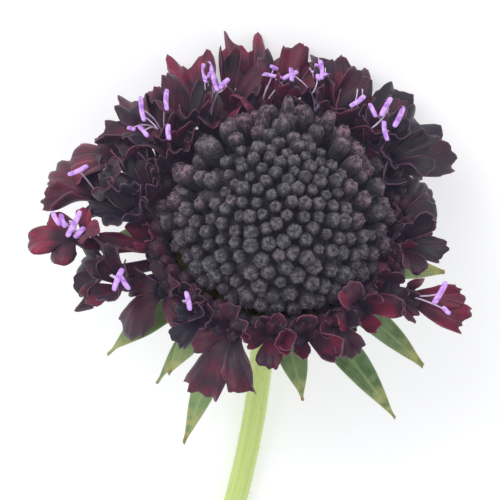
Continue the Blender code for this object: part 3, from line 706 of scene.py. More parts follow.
@dataclass
class BudDome:
    """The dome of closed buds in a spiral, with a fringe of longer ones at its rim."""

    head: Head
    buds: int = 226
    top_fall: float = math.radians(83.0)
    width_top: float = 1.65 * MM
    width_rim: float = 2.0 * MM
    fringe_count: int = 29
    fringe_width: float = 2.3 * MM
    fringe_lift: float = 26.0
    down_per_bud: int = 10
    rim_growth: float = 0.22
    core_inset: float = 0.6 * MM

    def falls(self) -> Array:
        """Falls of the buds along the spiral, spaced so that each has room for its width."""
        fall = np.linspace(0.0, self.top_fall, 400)
        width = self.width_top + (self.width_rim - self.width_top) * smooth(fall / fall[-1], 0.3, 1.0)
        crowd = np.cumsum(np.sin(fall) / width**2)
        return np.interp((np.arange(self.buds) + 0.5) / self.buds, crowd / crowd[-1], fall)

    def core(self, skin: Skin) -> None:
        """The dome under the buds: half an ellipsoid with a flat foot."""
        share = np.linspace(0.02, math.pi / 2.0, 14)[:, None]
        turn = (TURN * np.arange(48) / 48)[None, :]
        inset = self.core_inset
        radius, height = self.head.dome_radius - inset, self.head.dome_height - inset
        rings = np.stack(
            (
                radius * np.sin(share) * np.cos(turn),
                radius * np.sin(share) * np.sin(turn),
                self.head.dome_foot + (height - self.head.dome_foot) * np.cos(share) + 0.0 * turn,
            ),
            -1,
        )
        rings[..., 0] += self.head.dome_shift
        skin.add_tube(self.head.world(rings), 0.0)

    def dress(self, skin: Skin) -> None:
        """Adds the spiral of buds: they grow and redden from the apex to the rim."""
        draw = np.random.default_rng(7)
        for number, fall in enumerate(self.falls()):
            share = fall / self.top_fall
            width = self.width_top + (self.width_rim - self.width_top) * smooth(share, 0.3, 1.0)
            width *= draw.uniform(0.82, 1.16)
            azimuth = number * GOLDEN_TURN + draw.uniform(-0.03, 0.03)
            large = smooth(math.sin(azimuth), -0.45, 0.0) * smooth(share, 0.42, 0.52)
            if large > 0.5 and number % 2:
                continue
            width *= 1.0 + self.rim_growth * large
            root, normal = self.head.dome_point(fall, azimuth, draw.uniform(-1.2, -0.75) * MM)
            axis = unit(normal + draw.uniform(-0.16, 0.16, 3) + np.array((0.0, 0.0, 0.25 * share)))
            length = width * (draw.uniform(1.1, 1.35) + 0.2 * share + 0.3 * large) + 0.25 * MM
            rings = bud_rings(root, axis, 1.04 * width, length, draw.uniform(0.0, TURN), 0.0)
            tone = np.clip(large * draw.uniform(0.2, 0.9) + draw.uniform(-0.15, 0.25), 0.0, 1.0)
            skin.add_tube(self.head.world(rings), tone)
            self.down(skin, rings, axis, draw)

    def down(self, skin: Skin, rings: Array, axis: Array, draw: np.random.Generator) -> None:
        """Fine hairs on a bud: slim cones that lean up along it."""
        picked = rings[3:7].reshape(-1, 3)
        middle = rings[2].mean(axis=0)
        for foot in picked[draw.choice(len(picked), self.down_per_bud, replace=False)]:
            lean = unit(unit(foot - middle) + 0.5 * axis + draw.uniform(-0.3, 0.3, 3))
            path = np.stack((foot - 0.05 * MM * lean, foot + draw.uniform(0.22, 0.42) * MM * lean))
            rings_of = tube_rings(path, np.array((0.035, 0.008)) * MM, 3)
            skin.add_tube(self.head.world(rings_of), 0.15)

    def fringe(self, skin: Skin) -> None:
        """The rim's longer buds: a pointed row that leans out, more upright on the far side."""
        draw = np.random.default_rng(17)
        for number in range(2 * self.fringe_count):
            inner = number % 2
            azimuth = TURN * (number + draw.uniform(-0.3, 0.3)) / (2 * self.fringe_count)
            reach = self.head.reach(azimuth) - draw.uniform(0.0, 0.7) * MM - 0.9 * MM * inner
            degrees = draw.uniform(22.0, 32.0) + 12.0 * inner + self.fringe_lift * math.sin(azimuth)
            lift = math.radians(degrees)
            root, _ = self.head.dome_point(math.radians(76.0 if inner else 84.0), azimuth, -2.2 * MM)
            root[2] += 0.9 * MM
            foot = math.hypot(root[0] - self.head.dome_shift, root[1])
            axis = np.array(
                (math.cos(lift) * math.cos(azimuth), math.cos(lift) * math.sin(azimuth), math.sin(lift))
            )
            length = (reach - foot) / math.cos(lift)
            width = self.fringe_width * draw.uniform(0.74, 1.0)
            rings = bud_rings(root, axis, width, length, draw.uniform(0.0, TURN), 0.6)
            far = max(0.0, math.sin(azimuth))
            tone = draw.uniform(0.0, 0.5) + 0.75 * far * draw.uniform(0.2, 1.0)
            skin.add_tube(self.head.world(rings), tone)
            self.down(skin, rings, axis, draw)

    def build(self) -> bpy.types.Object:
        """Makes the dome's piece, which stands for the node bud_dome."""
        skin = Skin()
        self.core(skin)
        self.dress(skin)
        self.fringe(skin)
        dome = skin.build("bud_dome_fine", BudFinish().material(), "bud")
        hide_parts("bud_dome")
        return dome


class Habit(Enum):
    """How a floret holds its five lobes: their lengths against its reach, and tip rises in degrees."""

    OPEN = ((1.00, 0.92, 0.66, 0.66, 0.92), (16.0, 5.0, 44.0, 44.0, 5.0))
    CUP = ((1.00, 0.95, 0.65, 0.65, 0.95), (48.0, 50.0, 62.0, 62.0, 50.0))
    LOOSE = ((1.00, 0.85, 0.50, 0.50, 0.85), (-14.0, -8.0, 35.0, 35.0, -8.0))
    FOLDED = ((1.00, 0.62, 0.42, 0.42, 0.62), (35.0, 66.0, 78.0, 78.0, 66.0))


@dataclass(frozen=True)
class Floret:
    """One open floret.

    Its throat is seen this far right and up of the head's centre, at this height over the
    ring's plane, all in mm. Its face leans outwards and turns from straight outwards, in
    degrees. Red is how light its petals are, from 0 for near black to 1: partly the floret's
    own colour, and partly painted light on the lit side of the head and painted shade on its
    shaded side. Shares are the lobes' lengths against the reach, where they aren't the
    habit's, and swings turn each lobe from its even place, in degrees. The first lobe points
    outwards, and the others follow counter-clockwise.
    """

    right: float
    up: float
    height: float
    lean: float
    turn: float
    reach: float
    habit: Habit
    red: float = 0.5
    shares: tuple[float, ...] | None = None
    swings: tuple[float, ...] = (0.0, 0.0, 0.0, 0.0, 0.0)

    def lengths(self) -> Array:
        """Lengths of the five lobes in metres."""
        return self.reach * MM * np.array(self.shares or self.habit.value[0])


# Each row's red value holds painted light and painted shade as well as the floret's own colour.
FLORETS = tuple(
    Floret(*row)
    for row in (
        (-23.4, -0.8, 2.0, 30, 8, 6.2, Habit.OPEN, 1.0, (1.0, 0.7, 0.8, 0.47, 0.66), (-5, -31, -10, 0, 20)),
        (-19.6, -4.6, -1.2, 66, 0, 7.8, Habit.OPEN, 0.15, (0.6, 0.83, 0.66, 0.66, 1.0), (20, 10, 0, 0, 30)),
        (-18.2, -6.4, 1.4, 34, 14, 6.4, Habit.CUP, 0.35, (0.7, 1.0, 0.65, 0.65, 0.58), (4, 8, 0, 0, -5)),
        (-12.8, -7.4, 0.2, 46, 10, 8.0, Habit.LOOSE, 0.3, (1.0, 0.6, 0.5, 0.38, 0.63), (-12, 3, -10, 0, 8)),
        (-8.8, -9.0, 0.8, 40, 0, 4.4, Habit.CUP, 0.0, (0.7, 0.8, 0.65, 0.65, 0.5), (20, 20, 0, 0, 15)),
        (-3.7, -11.6, 0.4, 56, -14, 9.4, Habit.LOOSE, 0.3, (1.0, 0.8, 0.45, 0.35, 0.62),
         (-4, -22, -10, -20, 26)),
        (3.8, -11.2, 0.6, 38, 10, 6.3, Habit.CUP, 0.65, (0.4, 1.0, 0.87, 0.5, 0.8), (-20, -14, 12, -14, -30)),
        (10.4, -8.8, 1.2, 36, 0, 6.7, Habit.CUP, 0.85, (0.45, 1.0, 0.67, 0.9, 0.67), (-5, 0, -16, -21, -29)),
        (17.4, -8.2, 1.6, 40, 4, 8.7, Habit.CUP, 0.7, (0.87, 0.72, 0.3, 0.3, 0.66), (6, -32, -20, 0, -30)),
        (15.4, -3.6, 1.0, 34, 0, 3.0, Habit.CUP, 0.6, (0.75, 0.8, 0.85, 0.7, 1.0), (20, 20, 10, 0, -13)),
        (15.4, 1.6, 0.4, 36, 10, 5.8, Habit.OPEN, 0.05, (0.79, 1.0, 0.45, 0.4, 0.74), (14, -30, 20, 0, 14)),
        (14.8, 7.4, 1.4, 32, -6, 9.0, Habit.OPEN, 0.0, (1.0, 0.98, 0.6, 0.6, 0.58), (6, -30, 0, 0, 30)),
        (13.6, 10.4, 0.6, 34, 0, 8.9, Habit.OPEN, 0.05, (0.94, 1.0, 0.64, 0.64, 0.85), (-8, -30, 0, 0, 30)),
        (9.8, 12.4, 1.6, 30, 20, 10.1, Habit.OPEN, 0.6, (1.0, 0.97, 0.54, 0.54, 0.8), (21, -22, 0, 0, 30)),
        (5.4, 13.4, 0.8, 32, 0, 9.7, Habit.OPEN, 0.25, (0.9, 1.0, 0.59, 0.59, 0.77), (12, -30, 0, 0, 30)),
        (-1.4, 14.0, 1.6, 30, -12, 11.0, Habit.OPEN, 0.95, (1.0, 0.95, 0.54, 0.54, 0.68), (2, -30, 0, 0, 30)),
        (-7.4, 12.8, 0.8, 32, 6, 10.3, Habit.OPEN, 0.8, (1.0, 0.73, 0.52, 0.52, 0.87), (-9, -30, 0, 0, 30)),
        (-12.8, 10.4, 1.6, 32, 0, 9.1, Habit.OPEN, 0.35, (0.96, 0.89, 0.55, 0.55, 1.0), (-19, -30, 0, 0, 29)),
        (-17.6, 8.2, 0.8, 34, 0, 7.3, Habit.OPEN, 0.6, (1.0, 0.97, 0.72, 0.72, 0.9), (14, -8, 0, 0, 30)),
        (-21.0, 4.2, 1.4, 34, 0, 8.3, Habit.OPEN, 0.3, (1.0, 0.81, 0.57, 0.57, 0.99), (-30, -30, 0, 0, 12)),
        (-15.2, 4.4, 2.8, 28, 0, 5.8, Habit.CUP, 0.1),
        (-14.4, -1.8, 0.8, 44, 4, 5.6, Habit.FOLDED, 0.6),
    )
)


# Dark half-open florets that stand between the open ones and the fringe.
INNER_FLORETS = tuple(
    Floret(*row)
    for row in (
        (-14.8, 5.0, 3.4, 26, 0, 5.6, Habit.FOLDED, 0.05),
        (-16.6, 1.9, 3.0, 30, 10, 5.4, Habit.CUP, 0.0),
        (-13.4, 8.1, 3.2, 24, 0, 5.6, Habit.FOLDED, 0.1),
        (-11.4, 9.4, 2.6, 18, 0, 5.6, Habit.CUP, 0.15),
        (-13.6, 11.3, 3.4, 24, 12, 5.6, Habit.CUP, 0.1),
        (-10.0, 13.8, 3.6, 20, 0, 5.8, Habit.CUP, 0.3),
        (-4.6, 16.4, 3.6, 20, 8, 5.8, Habit.CUP, 0.4),
        (2.0, 17.0, 3.6, 20, 0, 6.2, Habit.CUP, 0.45),
        (7.8, 15.2, 3.6, 20, -8, 5.8, Habit.CUP, 0.35),
        (12.2, 12.2, 3.4, 24, 0, 5.8, Habit.CUP, 0.15),
        (14.8, 9.0, 3.2, 26, 0, 6.0, Habit.CUP, 0.0),
        (14.6, -1.2, 2.6, 28, 0, 5.2, Habit.CUP, 0.2),
        (12.8, -6.0, 2.4, 30, 0, 4.8, Habit.FOLDED, 0.3),
        (7.4, -9.6, 2.0, 30, 0, 4.6, Habit.FOLDED, 0.15),
        (0.6, -11.6, 1.6, 34, 0, 4.4, Habit.CUP, 0.5),
        (-8.0, -10.6, 1.6, 34, 0, 4.4, Habit.FOLDED, 0.1),
    )
)


@dataclass(frozen=True)
class Bend:
    """One lobe: direction round the face and tip slope in radians, and its length.

    Point is how much shorter its edges are than its middle, and share how wide it is against
    the ring's usual spread.
    """

    angle: float
    length: float
    rise: float
    point: float
    share: float


@dataclass
class FloretRing:
    """The ring of open florets: tubes that flare into five ruffled lobes each.

    Round it, dark half-open buds fill the crease along the fringe, and a frill closes it below.
    """

    head: Head
    rows: int = 11
    columns: int = 19
    wall: float = 0.24 * MM
    funnel: float = math.radians(62.0)
    spread: float = math.radians(31.0)
    root_spread: float = math.radians(36.0)
    loose_share: float = 0.78
    coarse_rag: float = 0.045
    fine_rag: float = 0.03
    notch_width: float = 0.12
    tip_gain: float = 0.18
    throat_radius: float = 1.15 * MM
    tube_root_radius: float = 0.75 * MM
    neck_radius: float = 0.82 * MM
    shingle_roll: float = math.radians(15.0)
    skirt_buds: int = 66
    skirt_foot: float = -1.2 * MM
    skirt_open: float = 0.6
    full_width: float = 9.0 * MM
    hem_buds: int = 50
    hem_foot: float = -1.6 * MM
    collar_columns: int = 241
    collar_points: int = 40
    collar_inner: float = 11.0 * MM
    collar_outer: float = 15.2 * MM
    collar_tooth: float = 0.6 * MM
    collar_foot: float = -1.5 * MM

    def throat(self, floret: Floret) -> Array:
        """Middle of a floret's throat, moved outwards where it would meet the fringe."""
        place = self.head.seen_at(floret.right * MM, floret.up * MM, floret.height * MM)
        place = place - self.head.shift
        azimuth = math.atan2(place[1], place[0])
        least = self.head.reach(azimuth) + self.head.petal_clearance + self.throat_radius
        scale = max(1.0, least / math.hypot(place[0], place[1]))
        return place * np.array((scale, scale, 1.0)) + self.head.shift

    def axes(self, floret: Floret, throat: Array) -> tuple[Array, Array, Array]:
        """Outward, sideways and facing axes of a floret, rolled a little like a shingle."""
        outward = math.atan2(throat[1], throat[0]) + math.radians(floret.turn)
        lean = math.radians(floret.lean)
        radial = radial_at(outward)
        facing = math.cos(lean) * UP + math.sin(lean) * radial
        side = unit(np.cross(facing, radial))
        out = np.cross(side, facing)
        roll = self.shingle_roll
        side, facing = (
            math.cos(roll) * side + math.sin(roll) * facing,
            math.cos(roll) * facing - math.sin(roll) * side,
        )
        return out, side, facing

    def tip_line(self, bend: Bend, across: Array, draw: np.random.Generator) -> Array:
        """How far each column of a lobe reaches: rounded, pointed, ragged and notched at the tip."""
        ragged = self.coarse_rag * np.sin(5.0 * across + draw.uniform(0.0, TURN))
        ragged += self.fine_rag * np.sin(15.0 * across + draw.uniform(0.0, TURN))
        ragged += draw.uniform(-0.022, 0.022, self.columns)
        depth = draw.uniform(0.0, 0.12)
        notch = depth * np.exp(-(((across - draw.uniform(-0.4, 0.4)) / self.notch_width) ** 2))
        point = bend.point * np.abs(across) ** 1.4
        longest = 1.0 + self.tip_gain * bend.point
        return bend.length * (longest - 0.12 * across**2 - 0.30 * across**6 - point + ragged - notch)

    def lobe(
        self, throat: Array, axes: tuple[Array, Array, Array], bend: Bend, draw: np.random.Generator
    ) -> Array:
        """Middle surface of one lobe.

        Each column starts on the throat's rim and walks outwards. Its slope over the face's
        plane falls from the funnel's to the tip's, and curls a little at the end. The columns
        fan out, the outer ones are shorter so that the tip is round or pointed, the edges rise
        or sink with the square of the place across, waves grow towards the tip, and a fold runs
        down the middle.

        Args:
            throat: middle of the throat.
            axes: the floret's axes.
            bend: the lobe's own direction, slope and sizes.
            draw: the floret's random numbers.

        Returns:
            Points by row, column and axis, in the head's frame.
        """
        out, side, facing = axes
        along = np.linspace(0.0, 1.0, self.rows)
        across = np.linspace(-1.0, 1.0, self.columns)
        reach = self.tip_line(bend, across, draw)
        middle = 0.5 * (along[1:] + along[:-1])
        curl = math.radians(draw.uniform(-60.0, 45.0))
        slope = self.funnel + (bend.rise - self.funnel) * np.minimum(1.0, 1.7 * middle) + curl * middle**4
        spread = self.spread * min(1.0, self.full_width / bend.length) * bend.share
        width = spread + (self.root_spread - spread) * np.exp(-middle / 0.12)
        turn = bend.angle + across[None, :] * width[:, None]
        ray = np.cos(turn)[..., None] * out + np.sin(turn)[..., None] * side
        step = (np.diff(along)[:, None] * reach[None, :])[..., None]
        walk = step * (np.cos(slope)[:, None, None] * ray + np.sin(slope)[:, None, None] * facing)
        start_turn = bend.angle + across * self.root_spread
        rim = np.cos(start_turn)[:, None] * out + np.sin(start_turn)[:, None] * side
        start = throat + self.throat_radius * rim
        points = np.concatenate((start[None], start[None] + np.cumsum(walk, axis=0)))
        cup = draw.uniform(-0.24, 0.42) * bend.length * along[:, None] ** 1.5 * across[None, :] ** 2
        wave = draw.uniform(0.3, 0.8) * MM * along[:, None] ** 2
        wave = wave * np.sin(draw.uniform(3.5, 7.0) * across[None, :] + draw.uniform(0.0, TURN))
        crease = np.exp(-((across[None, :] / 0.3) ** 2))
        fold = draw.uniform(0.0, 0.10) * bend.length * crease * along[:, None]
        return self.head.bend_clear(points + (cup + wave - fold)[..., None] * facing)

    def face(self, skin: Skin, index: int, floret: Floret) -> None:
        """Adds a floret's five lobes."""
        throat = self.throat(floret)
        axes = self.axes(floret, throat)
        shape = np.random.default_rng(index)
        rises = np.radians(floret.habit.value[1] + shape.uniform(-9.0, 9.0, 5))
        points = shape.uniform(0.0, 0.30, 5)
        draw = np.random.default_rng(300 + index)
        for number in range(5):
            angle = TURN * number / 5.0 + math.radians(floret.swings[number])
            share = self.loose_share if floret.habit is Habit.LOOSE else 1.0
            bend = Bend(angle, floret.lengths()[number], rises[number], points[number], share)
            middle = self.lobe(throat, axes, bend, draw)
            rows, columns = middle.shape[:2]
            along = np.linspace(0.0, 1.0, rows)[:, None]
            across = np.abs(np.linspace(-1.0, 1.0, columns))[None, :]
            thin = 1.0 - 0.55 * np.maximum(across**4, along**6)
            tone = np.clip(floret.red + draw.uniform(-0.15, 0.15), 0.0, 1.0)
            # Painted shade: each lobe darkens towards the throat and a little along its middle.
            shade = (0.3 + 0.7 * smooth(along, 0.0, 0.5)) * (0.8 + 0.2 * across)
            skin.add_blade(self.head.world(middle), self.wall * thin, tone * shade)

    def tube(self, skin: Skin, floret: Floret) -> None:
        """Adds a floret's tube, which bends up from the pad and opens into a funnel."""
        throat = self.throat(floret)
        facing = self.axes(floret, throat)[2]
        azimuth = math.atan2(throat[1], throat[0])
        radial = radial_at(azimuth)
        root = radial * (self.head.pad_top_radius - 2.2 * MM)
        root[2] = self.head.pad_top - 1.5 * MM
        neck = throat - 1.6 * MM * facing
        sag = 0.5 * (root + neck) - 0.5 * MM * UP
        share = np.linspace(0.0, 1.0, 8)[:, None]
        path = (1 - share) ** 2 * root + 2 * share * (1 - share) * sag + share**2 * neck
        mouth_steps = np.array((0.5, 1.0, 1.6, 1.45, 1.0, 0.4)) * MM
        mouth_radii = np.array((0.9, 1.0, 1.2, 1.05, 0.75, 0.35)) * MM
        path = np.concatenate((path, neck + mouth_steps[:, None] * facing))
        radii = np.concatenate((np.linspace(self.tube_root_radius, self.neck_radius, 8), mouth_radii))
        along = unit(np.gradient(path[:9], axis=0))
        along = np.concatenate((along[:8], np.repeat(facing[None], 6, axis=0)))
        across = unit(np.cross(along, ASKEW))
        other = np.cross(along, across)
        turn = TURN * np.arange(12) / 12
        circle = np.cos(turn)[:, None] * across[:, None] + np.sin(turn)[:, None] * other[:, None]
        rings = path[:, None] + radii[:, None, None] * circle
        tone = np.concatenate((np.linspace(0.75, 0.4, 8), np.array((0.3, 0.3, 0.2, 0.1, 0.0, 0.0))))
        skin.add_tube(self.head.world(rings), tone * (0.4 + 0.6 * floret.red))

    def skirt(self, skin: Skin) -> None:
        """Adds dark half-open buds along the fringe: an upright row, and a hem that leans out."""
        draw = np.random.default_rng(29)
        for number in range(self.skirt_buds):
            azimuth = TURN * (number + draw.uniform(-0.25, 0.25)) / self.skirt_buds
            reach = self.head.reach(azimuth) + draw.uniform(0.2, 1.0) * MM
            radial = radial_at(azimuth)
            root = reach * radial + np.array((self.head.dome_shift, 0.0, self.skirt_foot))
            lean = unit(0.35 * radial + UP + draw.uniform(-0.18, 0.18, 3))
            taller = 1.0 + 0.3 * max(0.0, math.sin(azimuth))
            width = draw.uniform(1.7, 2.3) * MM
            length = taller * draw.uniform(3.6, 5.6) * MM
            rings = bud_rings(root, lean, width, length, draw.uniform(0.0, TURN), self.skirt_open)
            skin.add_tube(self.head.world(rings), draw.uniform(0.0, 0.3))
        for number in range(self.hem_buds):
            azimuth = TURN * (number + draw.uniform(-0.3, 0.3)) / self.hem_buds
            radial = radial_at(azimuth)
            reach = self.head.reach(azimuth) + 0.2 * MM
            root = reach * radial + np.array((self.head.dome_shift, 0.0, self.hem_foot))
            lean = unit(radial + 0.75 * UP + draw.uniform(-0.2, 0.2, 3))
            width = draw.uniform(1.8, 2.4) * MM
            length = draw.uniform(3.4, 4.8) * MM
            rings = bud_rings(root, lean, width, length, draw.uniform(0.0, TURN), self.skirt_open)
            skin.add_tube(self.head.world(rings), draw.uniform(0.0, 0.2))

    def collar(self, skin: Skin) -> None:
        """Adds the dark frill of bracteoles under the florets: its edge rises and falls in points."""
        share = np.linspace(0.0, 1.0, 5)[:, None]
        turn = np.linspace(0.0, TURN, self.collar_columns)[None, :]
        points = np.abs(np.sin(0.5 * self.collar_points * turn))
        breadth = self.collar_outer - self.collar_inner
        radius = self.collar_inner + breadth * share + self.collar_tooth * share * points
        rise = self.collar_foot + 1.3 * MM * share**2 + 0.4 * MM * share * np.sin(17.0 * turn)
        shift = self.head.dome_shift * (1.0 - share)
        middle = np.stack((radius * np.cos(turn) + shift, radius * np.sin(turn), rise), -1)
        skin.add_blade(self.head.world(middle), np.full(radius.shape, self.wall), 0.05)

    def build(self) -> bpy.types.Object:
        """Makes the ring's piece, which stands for the node floret_ring."""
        skin = Skin()
        self.collar(skin)
        self.skirt(skin)
        for index, floret in enumerate(FLORETS + INNER_FLORETS):
            self.face(skin, index, floret)
            self.tube(skin, floret)
        ring = skin.build("floret_ring_fine", PetalFinish().material(), "petal")
        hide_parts("floret_ring")
        return ring


@dataclass(frozen=True)
class Stamen:
    """One stamen: its floret, and where its anther is seen.

    The anther's two ends are in mm right and up of the head's centre, at its height over the
    ring's plane in mm.
    """

    floret: int
    start: tuple[float, float]
    end: tuple[float, float]
    height: float


# Stamens: the floret, the pixels of the anther's two ends in the photograph, and height in mm.
STAMEN_PIXELS = (
    (0, (58, 213, 66, 226), 9.2), (0, (66, 215, 71, 228), 9.0),
    (0, (85, 212, 73, 237), 9.6), (0, (80, 238, 89, 228), 8.6),
    (19, (71, 176, 90, 167), 7.8), (2, (119, 289, 127, 268), 8.8),
    (2, (124, 272, 134, 288), 8.6), (4, (188, 290, 192, 308), 7.6),
    (17, (141, 97, 145, 122), 8.2), (17, (139, 126, 149, 138), 8.0),
    (17, (128, 128, 136, 131), 7.6), (17, (167, 89, 167, 111), 7.6),
    (17, (169, 125, 170, 141), 8.4), (16, (203, 62, 206, 82), 7.2),
    (16, (208, 60, 212, 76), 7.4), (16, (212, 70, 218, 91), 7.6),
    (16, (220, 88, 229, 78), 7.8), (16, (203, 78, 211, 72), 7.4),
    (15, (263, 72, 282, 76), 7.0), (15, (270, 64, 278, 68), 7.2),
    (15, (282, 78, 298, 70), 7.2), (14, (291, 66, 292, 80), 7.4),
    (14, (312, 70, 330, 74), 7.4), (14, (317, 62, 319, 79), 7.6),
    (14, (321, 58, 322, 78), 7.6), (13, (350, 106, 365, 95), 8.2),
    (12, (370, 103, 376, 117), 8.0), (12, (392, 97, 381, 116), 8.2),
    (12, (384, 121, 387, 141), 8.4), (12, (404, 106, 394, 127), 8.2),
    (8, (441, 281, 428, 302), 8.0), (8, (437, 305, 444, 312), 7.6),
)

# Threads without an anther: the pixels of the two ends in the photograph, and height in mm.
BARE_THREADS = (
    ((352, 108, 358, 88), 6.6), ((360, 103, 363, 88), 6.6), ((372, 128, 389, 108), 6.6),
    ((210, 84, 203, 62), 6.0), ((214, 92, 208, 66), 6.0), ((219, 91, 214, 72), 6.0),
    ((226, 84, 219, 92), 6.2),
    ((316, 84, 310, 66), 6.2), ((313, 92, 318, 76), 6.2), ((322, 84, 326, 66), 6.2),
    ((318, 70, 319, 55), 6.4),
    ((283, 84, 276, 78), 6.0), ((272, 74, 262, 74), 6.2), ((158, 130, 146, 118), 6.4),
)


@dataclass
class Stamens:
    """The lilac stamens: a curved anther on a thin thread out of a floret's throat."""

    head: Head
    ring: FloretRing
    anther_radius: float = 0.30 * MM
    thread_radius: float = 0.11 * MM
    rib_height: float = 0.06 * MM
    centre_pixel: tuple[float, float] = (268.0, 230.0)
    bare_rise: float = 1.5

    def from_pixels(self, floret: int, ends: tuple[float, float, float, float], height: float) -> Stamen:
        """A stamen whose anther's ends are given by the pixels where the photograph shows them."""
        x, y = self.centre_pixel
        scale = PIXEL / MM
        start = ((ends[0] - x) * scale, (y - ends[1]) * scale)
        end = ((ends[2] - x) * scale, (y - ends[3]) * scale)
        return Stamen(floret, start, end, height)

    def listed(self) -> list[Stamen]:
        """All stamens that the photograph shows."""
        return [self.from_pixels(*row) for row in STAMEN_PIXELS]

    def add(self, skin: Skin, stamen: Stamen, draw: np.random.Generator) -> None:
        """Adds one stamen: a bar with blunt ends, and a thread that bows up to its middle."""
        start = self.head.seen_at(stamen.start[0] * MM, stamen.start[1] * MM, stamen.height * MM)
        end = self.head.seen_at(stamen.end[0] * MM, stamen.end[1] * MM, stamen.height * MM)
        share = np.array((0.0, 0.05, 0.15, 0.35, 0.5, 0.65, 0.85, 0.95, 1.0))
        bow = draw.uniform(-0.06, 0.06) * np.linalg.norm(end - start) * np.sin(math.pi * share)
        aside = unit(np.cross(end - start, np.array((0.0, 0.3, 1.0))))
        path = start + share[:, None] * (end - start) + bow[:, None] * aside
        radii = self.anther_radius * np.array((0.45, 0.80, 0.95, 1.0, 0.97, 1.0, 0.98, 0.85, 0.50))
        skin.add_tube(self.head.world(tube_rings(path, radii, 10, 2, self.rib_height)), 1.0)
        throat = self.ring.throat(FLORETS[stamen.floret])
        facing = self.ring.axes(FLORETS[stamen.floret], throat)[2]
        root = throat - 1.0 * MM * facing
        middle = path[4]
        knee = throat + 0.55 * np.linalg.norm(middle - throat) * facing + draw.uniform(-0.4, 0.4, 3) * MM
        share = np.linspace(0.0, 1.0, 14)[:, None]
        thread = (1 - share) ** 2 * root + 2 * share * (1 - share) * knee + share**2 * middle
        radii = np.linspace(1.15, 0.8, 14) * self.thread_radius
        skin.add_tube(self.head.world(tube_rings(thread, radii, 6)), 0.0)

    def add_bare(self, skin: Skin, ends: tuple[float, float, float, float], height: float) -> None:
        """Adds a thread that has lost its anther, between the pixels where it is seen."""
        stamen = self.from_pixels(0, ends, height)
        low = self.head.seen_at(stamen.start[0] * MM, stamen.start[1] * MM, height * MM)
        high = self.head.seen_at(stamen.end[0] * MM, stamen.end[1] * MM, (height + self.bare_rise) * MM)
        share = np.linspace(0.0, 1.0, 7)
        bow = 0.08 * np.linalg.norm(high - low) * np.sin(math.pi * share)
        path = low + share[:, None] * (high - low) + bow[:, None] * np.array((1.0, 0.0, 0.0))
        radii = np.linspace(1.1, 0.6, 7) * self.thread_radius
        skin.add_tube(self.head.world(tube_rings(path, radii, 6)), 0.0)

    def build(self) -> bpy.types.Object:
        """Makes the stamens' piece, which goes with the florets."""
        skin = Skin()
        draw = np.random.default_rng(41)
        for stamen in self.listed():
            self.add(skin, stamen, draw)
        for ends, height in BARE_THREADS:
            self.add_bare(skin, ends, height)
        return skin.build("stamens", AntherFinish().material(), "petal")


@dataclass
class CalyxPad:
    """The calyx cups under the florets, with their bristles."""

    head: Head
    cups: int = 26
    tiers: int = 3
    rows: int = 46
    columns: int = 312
    bulge: float = 0.55 * MM
    bristles: int = 150

    def surface(self, skin: Skin) -> None:
        """The pad: a cone whose radius swells over each cup and falls between cups and tiers."""
        share = np.linspace(0.0, 1.0, self.rows)[:, None]
        turn = (TURN * np.arange(self.columns) / self.columns)[None, :]
        tier = np.clip(np.floor(share * self.tiers), 0, self.tiers - 1)
        within = share * self.tiers - tier
        cup = np.abs(np.cos(0.5 * self.cups * turn + 0.5 * math.pi * tier))
        swell = cup**0.6 * np.sin(math.pi * np.clip(within, 0.0, 1.0)) ** 0.6
        inset = 0.35 * MM
        top, bottom = self.head.pad_top_radius - inset, self.head.pad_bottom_radius - inset
        radius = top + (bottom - top) * share + self.bulge * swell
        height = self.head.pad_top + (self.head.pad_bottom - self.head.pad_top) * share + 0.0 * turn
        rings = np.stack((radius * np.cos(turn), radius * np.sin(turn), height), -1)
        halved = np.array((0.5, 0.5, 1.0))
        ends = np.concatenate((rings[:1] * halved, rings, rings[-1:] * halved))
        # Painted shade: tone follows the swell, so the grooves between cups and tiers come out dark.
        tone = np.concatenate((swell[:1], swell, swell[-1:])).mean(axis=1)
        skin.add_tube(self.head.world(ends), tone)

    def bristle(self, skin: Skin) -> None:
        """Slim calyx bristles that stand up between the florets at the pad's rim."""
        draw = np.random.default_rng(23)
        for azimuth in draw.uniform(0.0, TURN, self.bristles):
            radial = radial_at(azimuth)
            foot = radial * draw.uniform(11.6, 12.4) * MM + np.array((0.0, 0.0, -1.0 * MM))
            lean = unit(radial + np.array((0.0, 0.0, draw.uniform(0.1, 0.9))) + draw.uniform(-0.25, 0.25, 3))
            length = draw.uniform(1.6, 3.2) * MM
            path = foot + np.linspace(0.0, 1.0, 5)[:, None] * length * lean
            path[:, 2] += 0.35 * MM * np.linspace(0.0, 1.0, 5) ** 2
            radii = np.array((0.16, 0.13, 0.10, 0.06, 0.015)) * MM
            skin.add_tube(self.head.world(tube_rings(path, radii, 5)), draw.uniform(0.3, 1.0))

    def build(self) -> bpy.types.Object:
        """Makes the pad's piece, which stands for the florets' foot."""
        skin = Skin()
        self.surface(skin)
        self.bristle(skin)
        return skin.build("calyx_pad", CalyxFinish().material(), "leaf")


@dataclass(frozen=True)
class Bract:
    """A bract: turn round the axis in degrees, length and width in mm, droop in degrees, paleness."""

    turn: float
    length: float
    width: float
    droop: float
    pale: float = 0.1


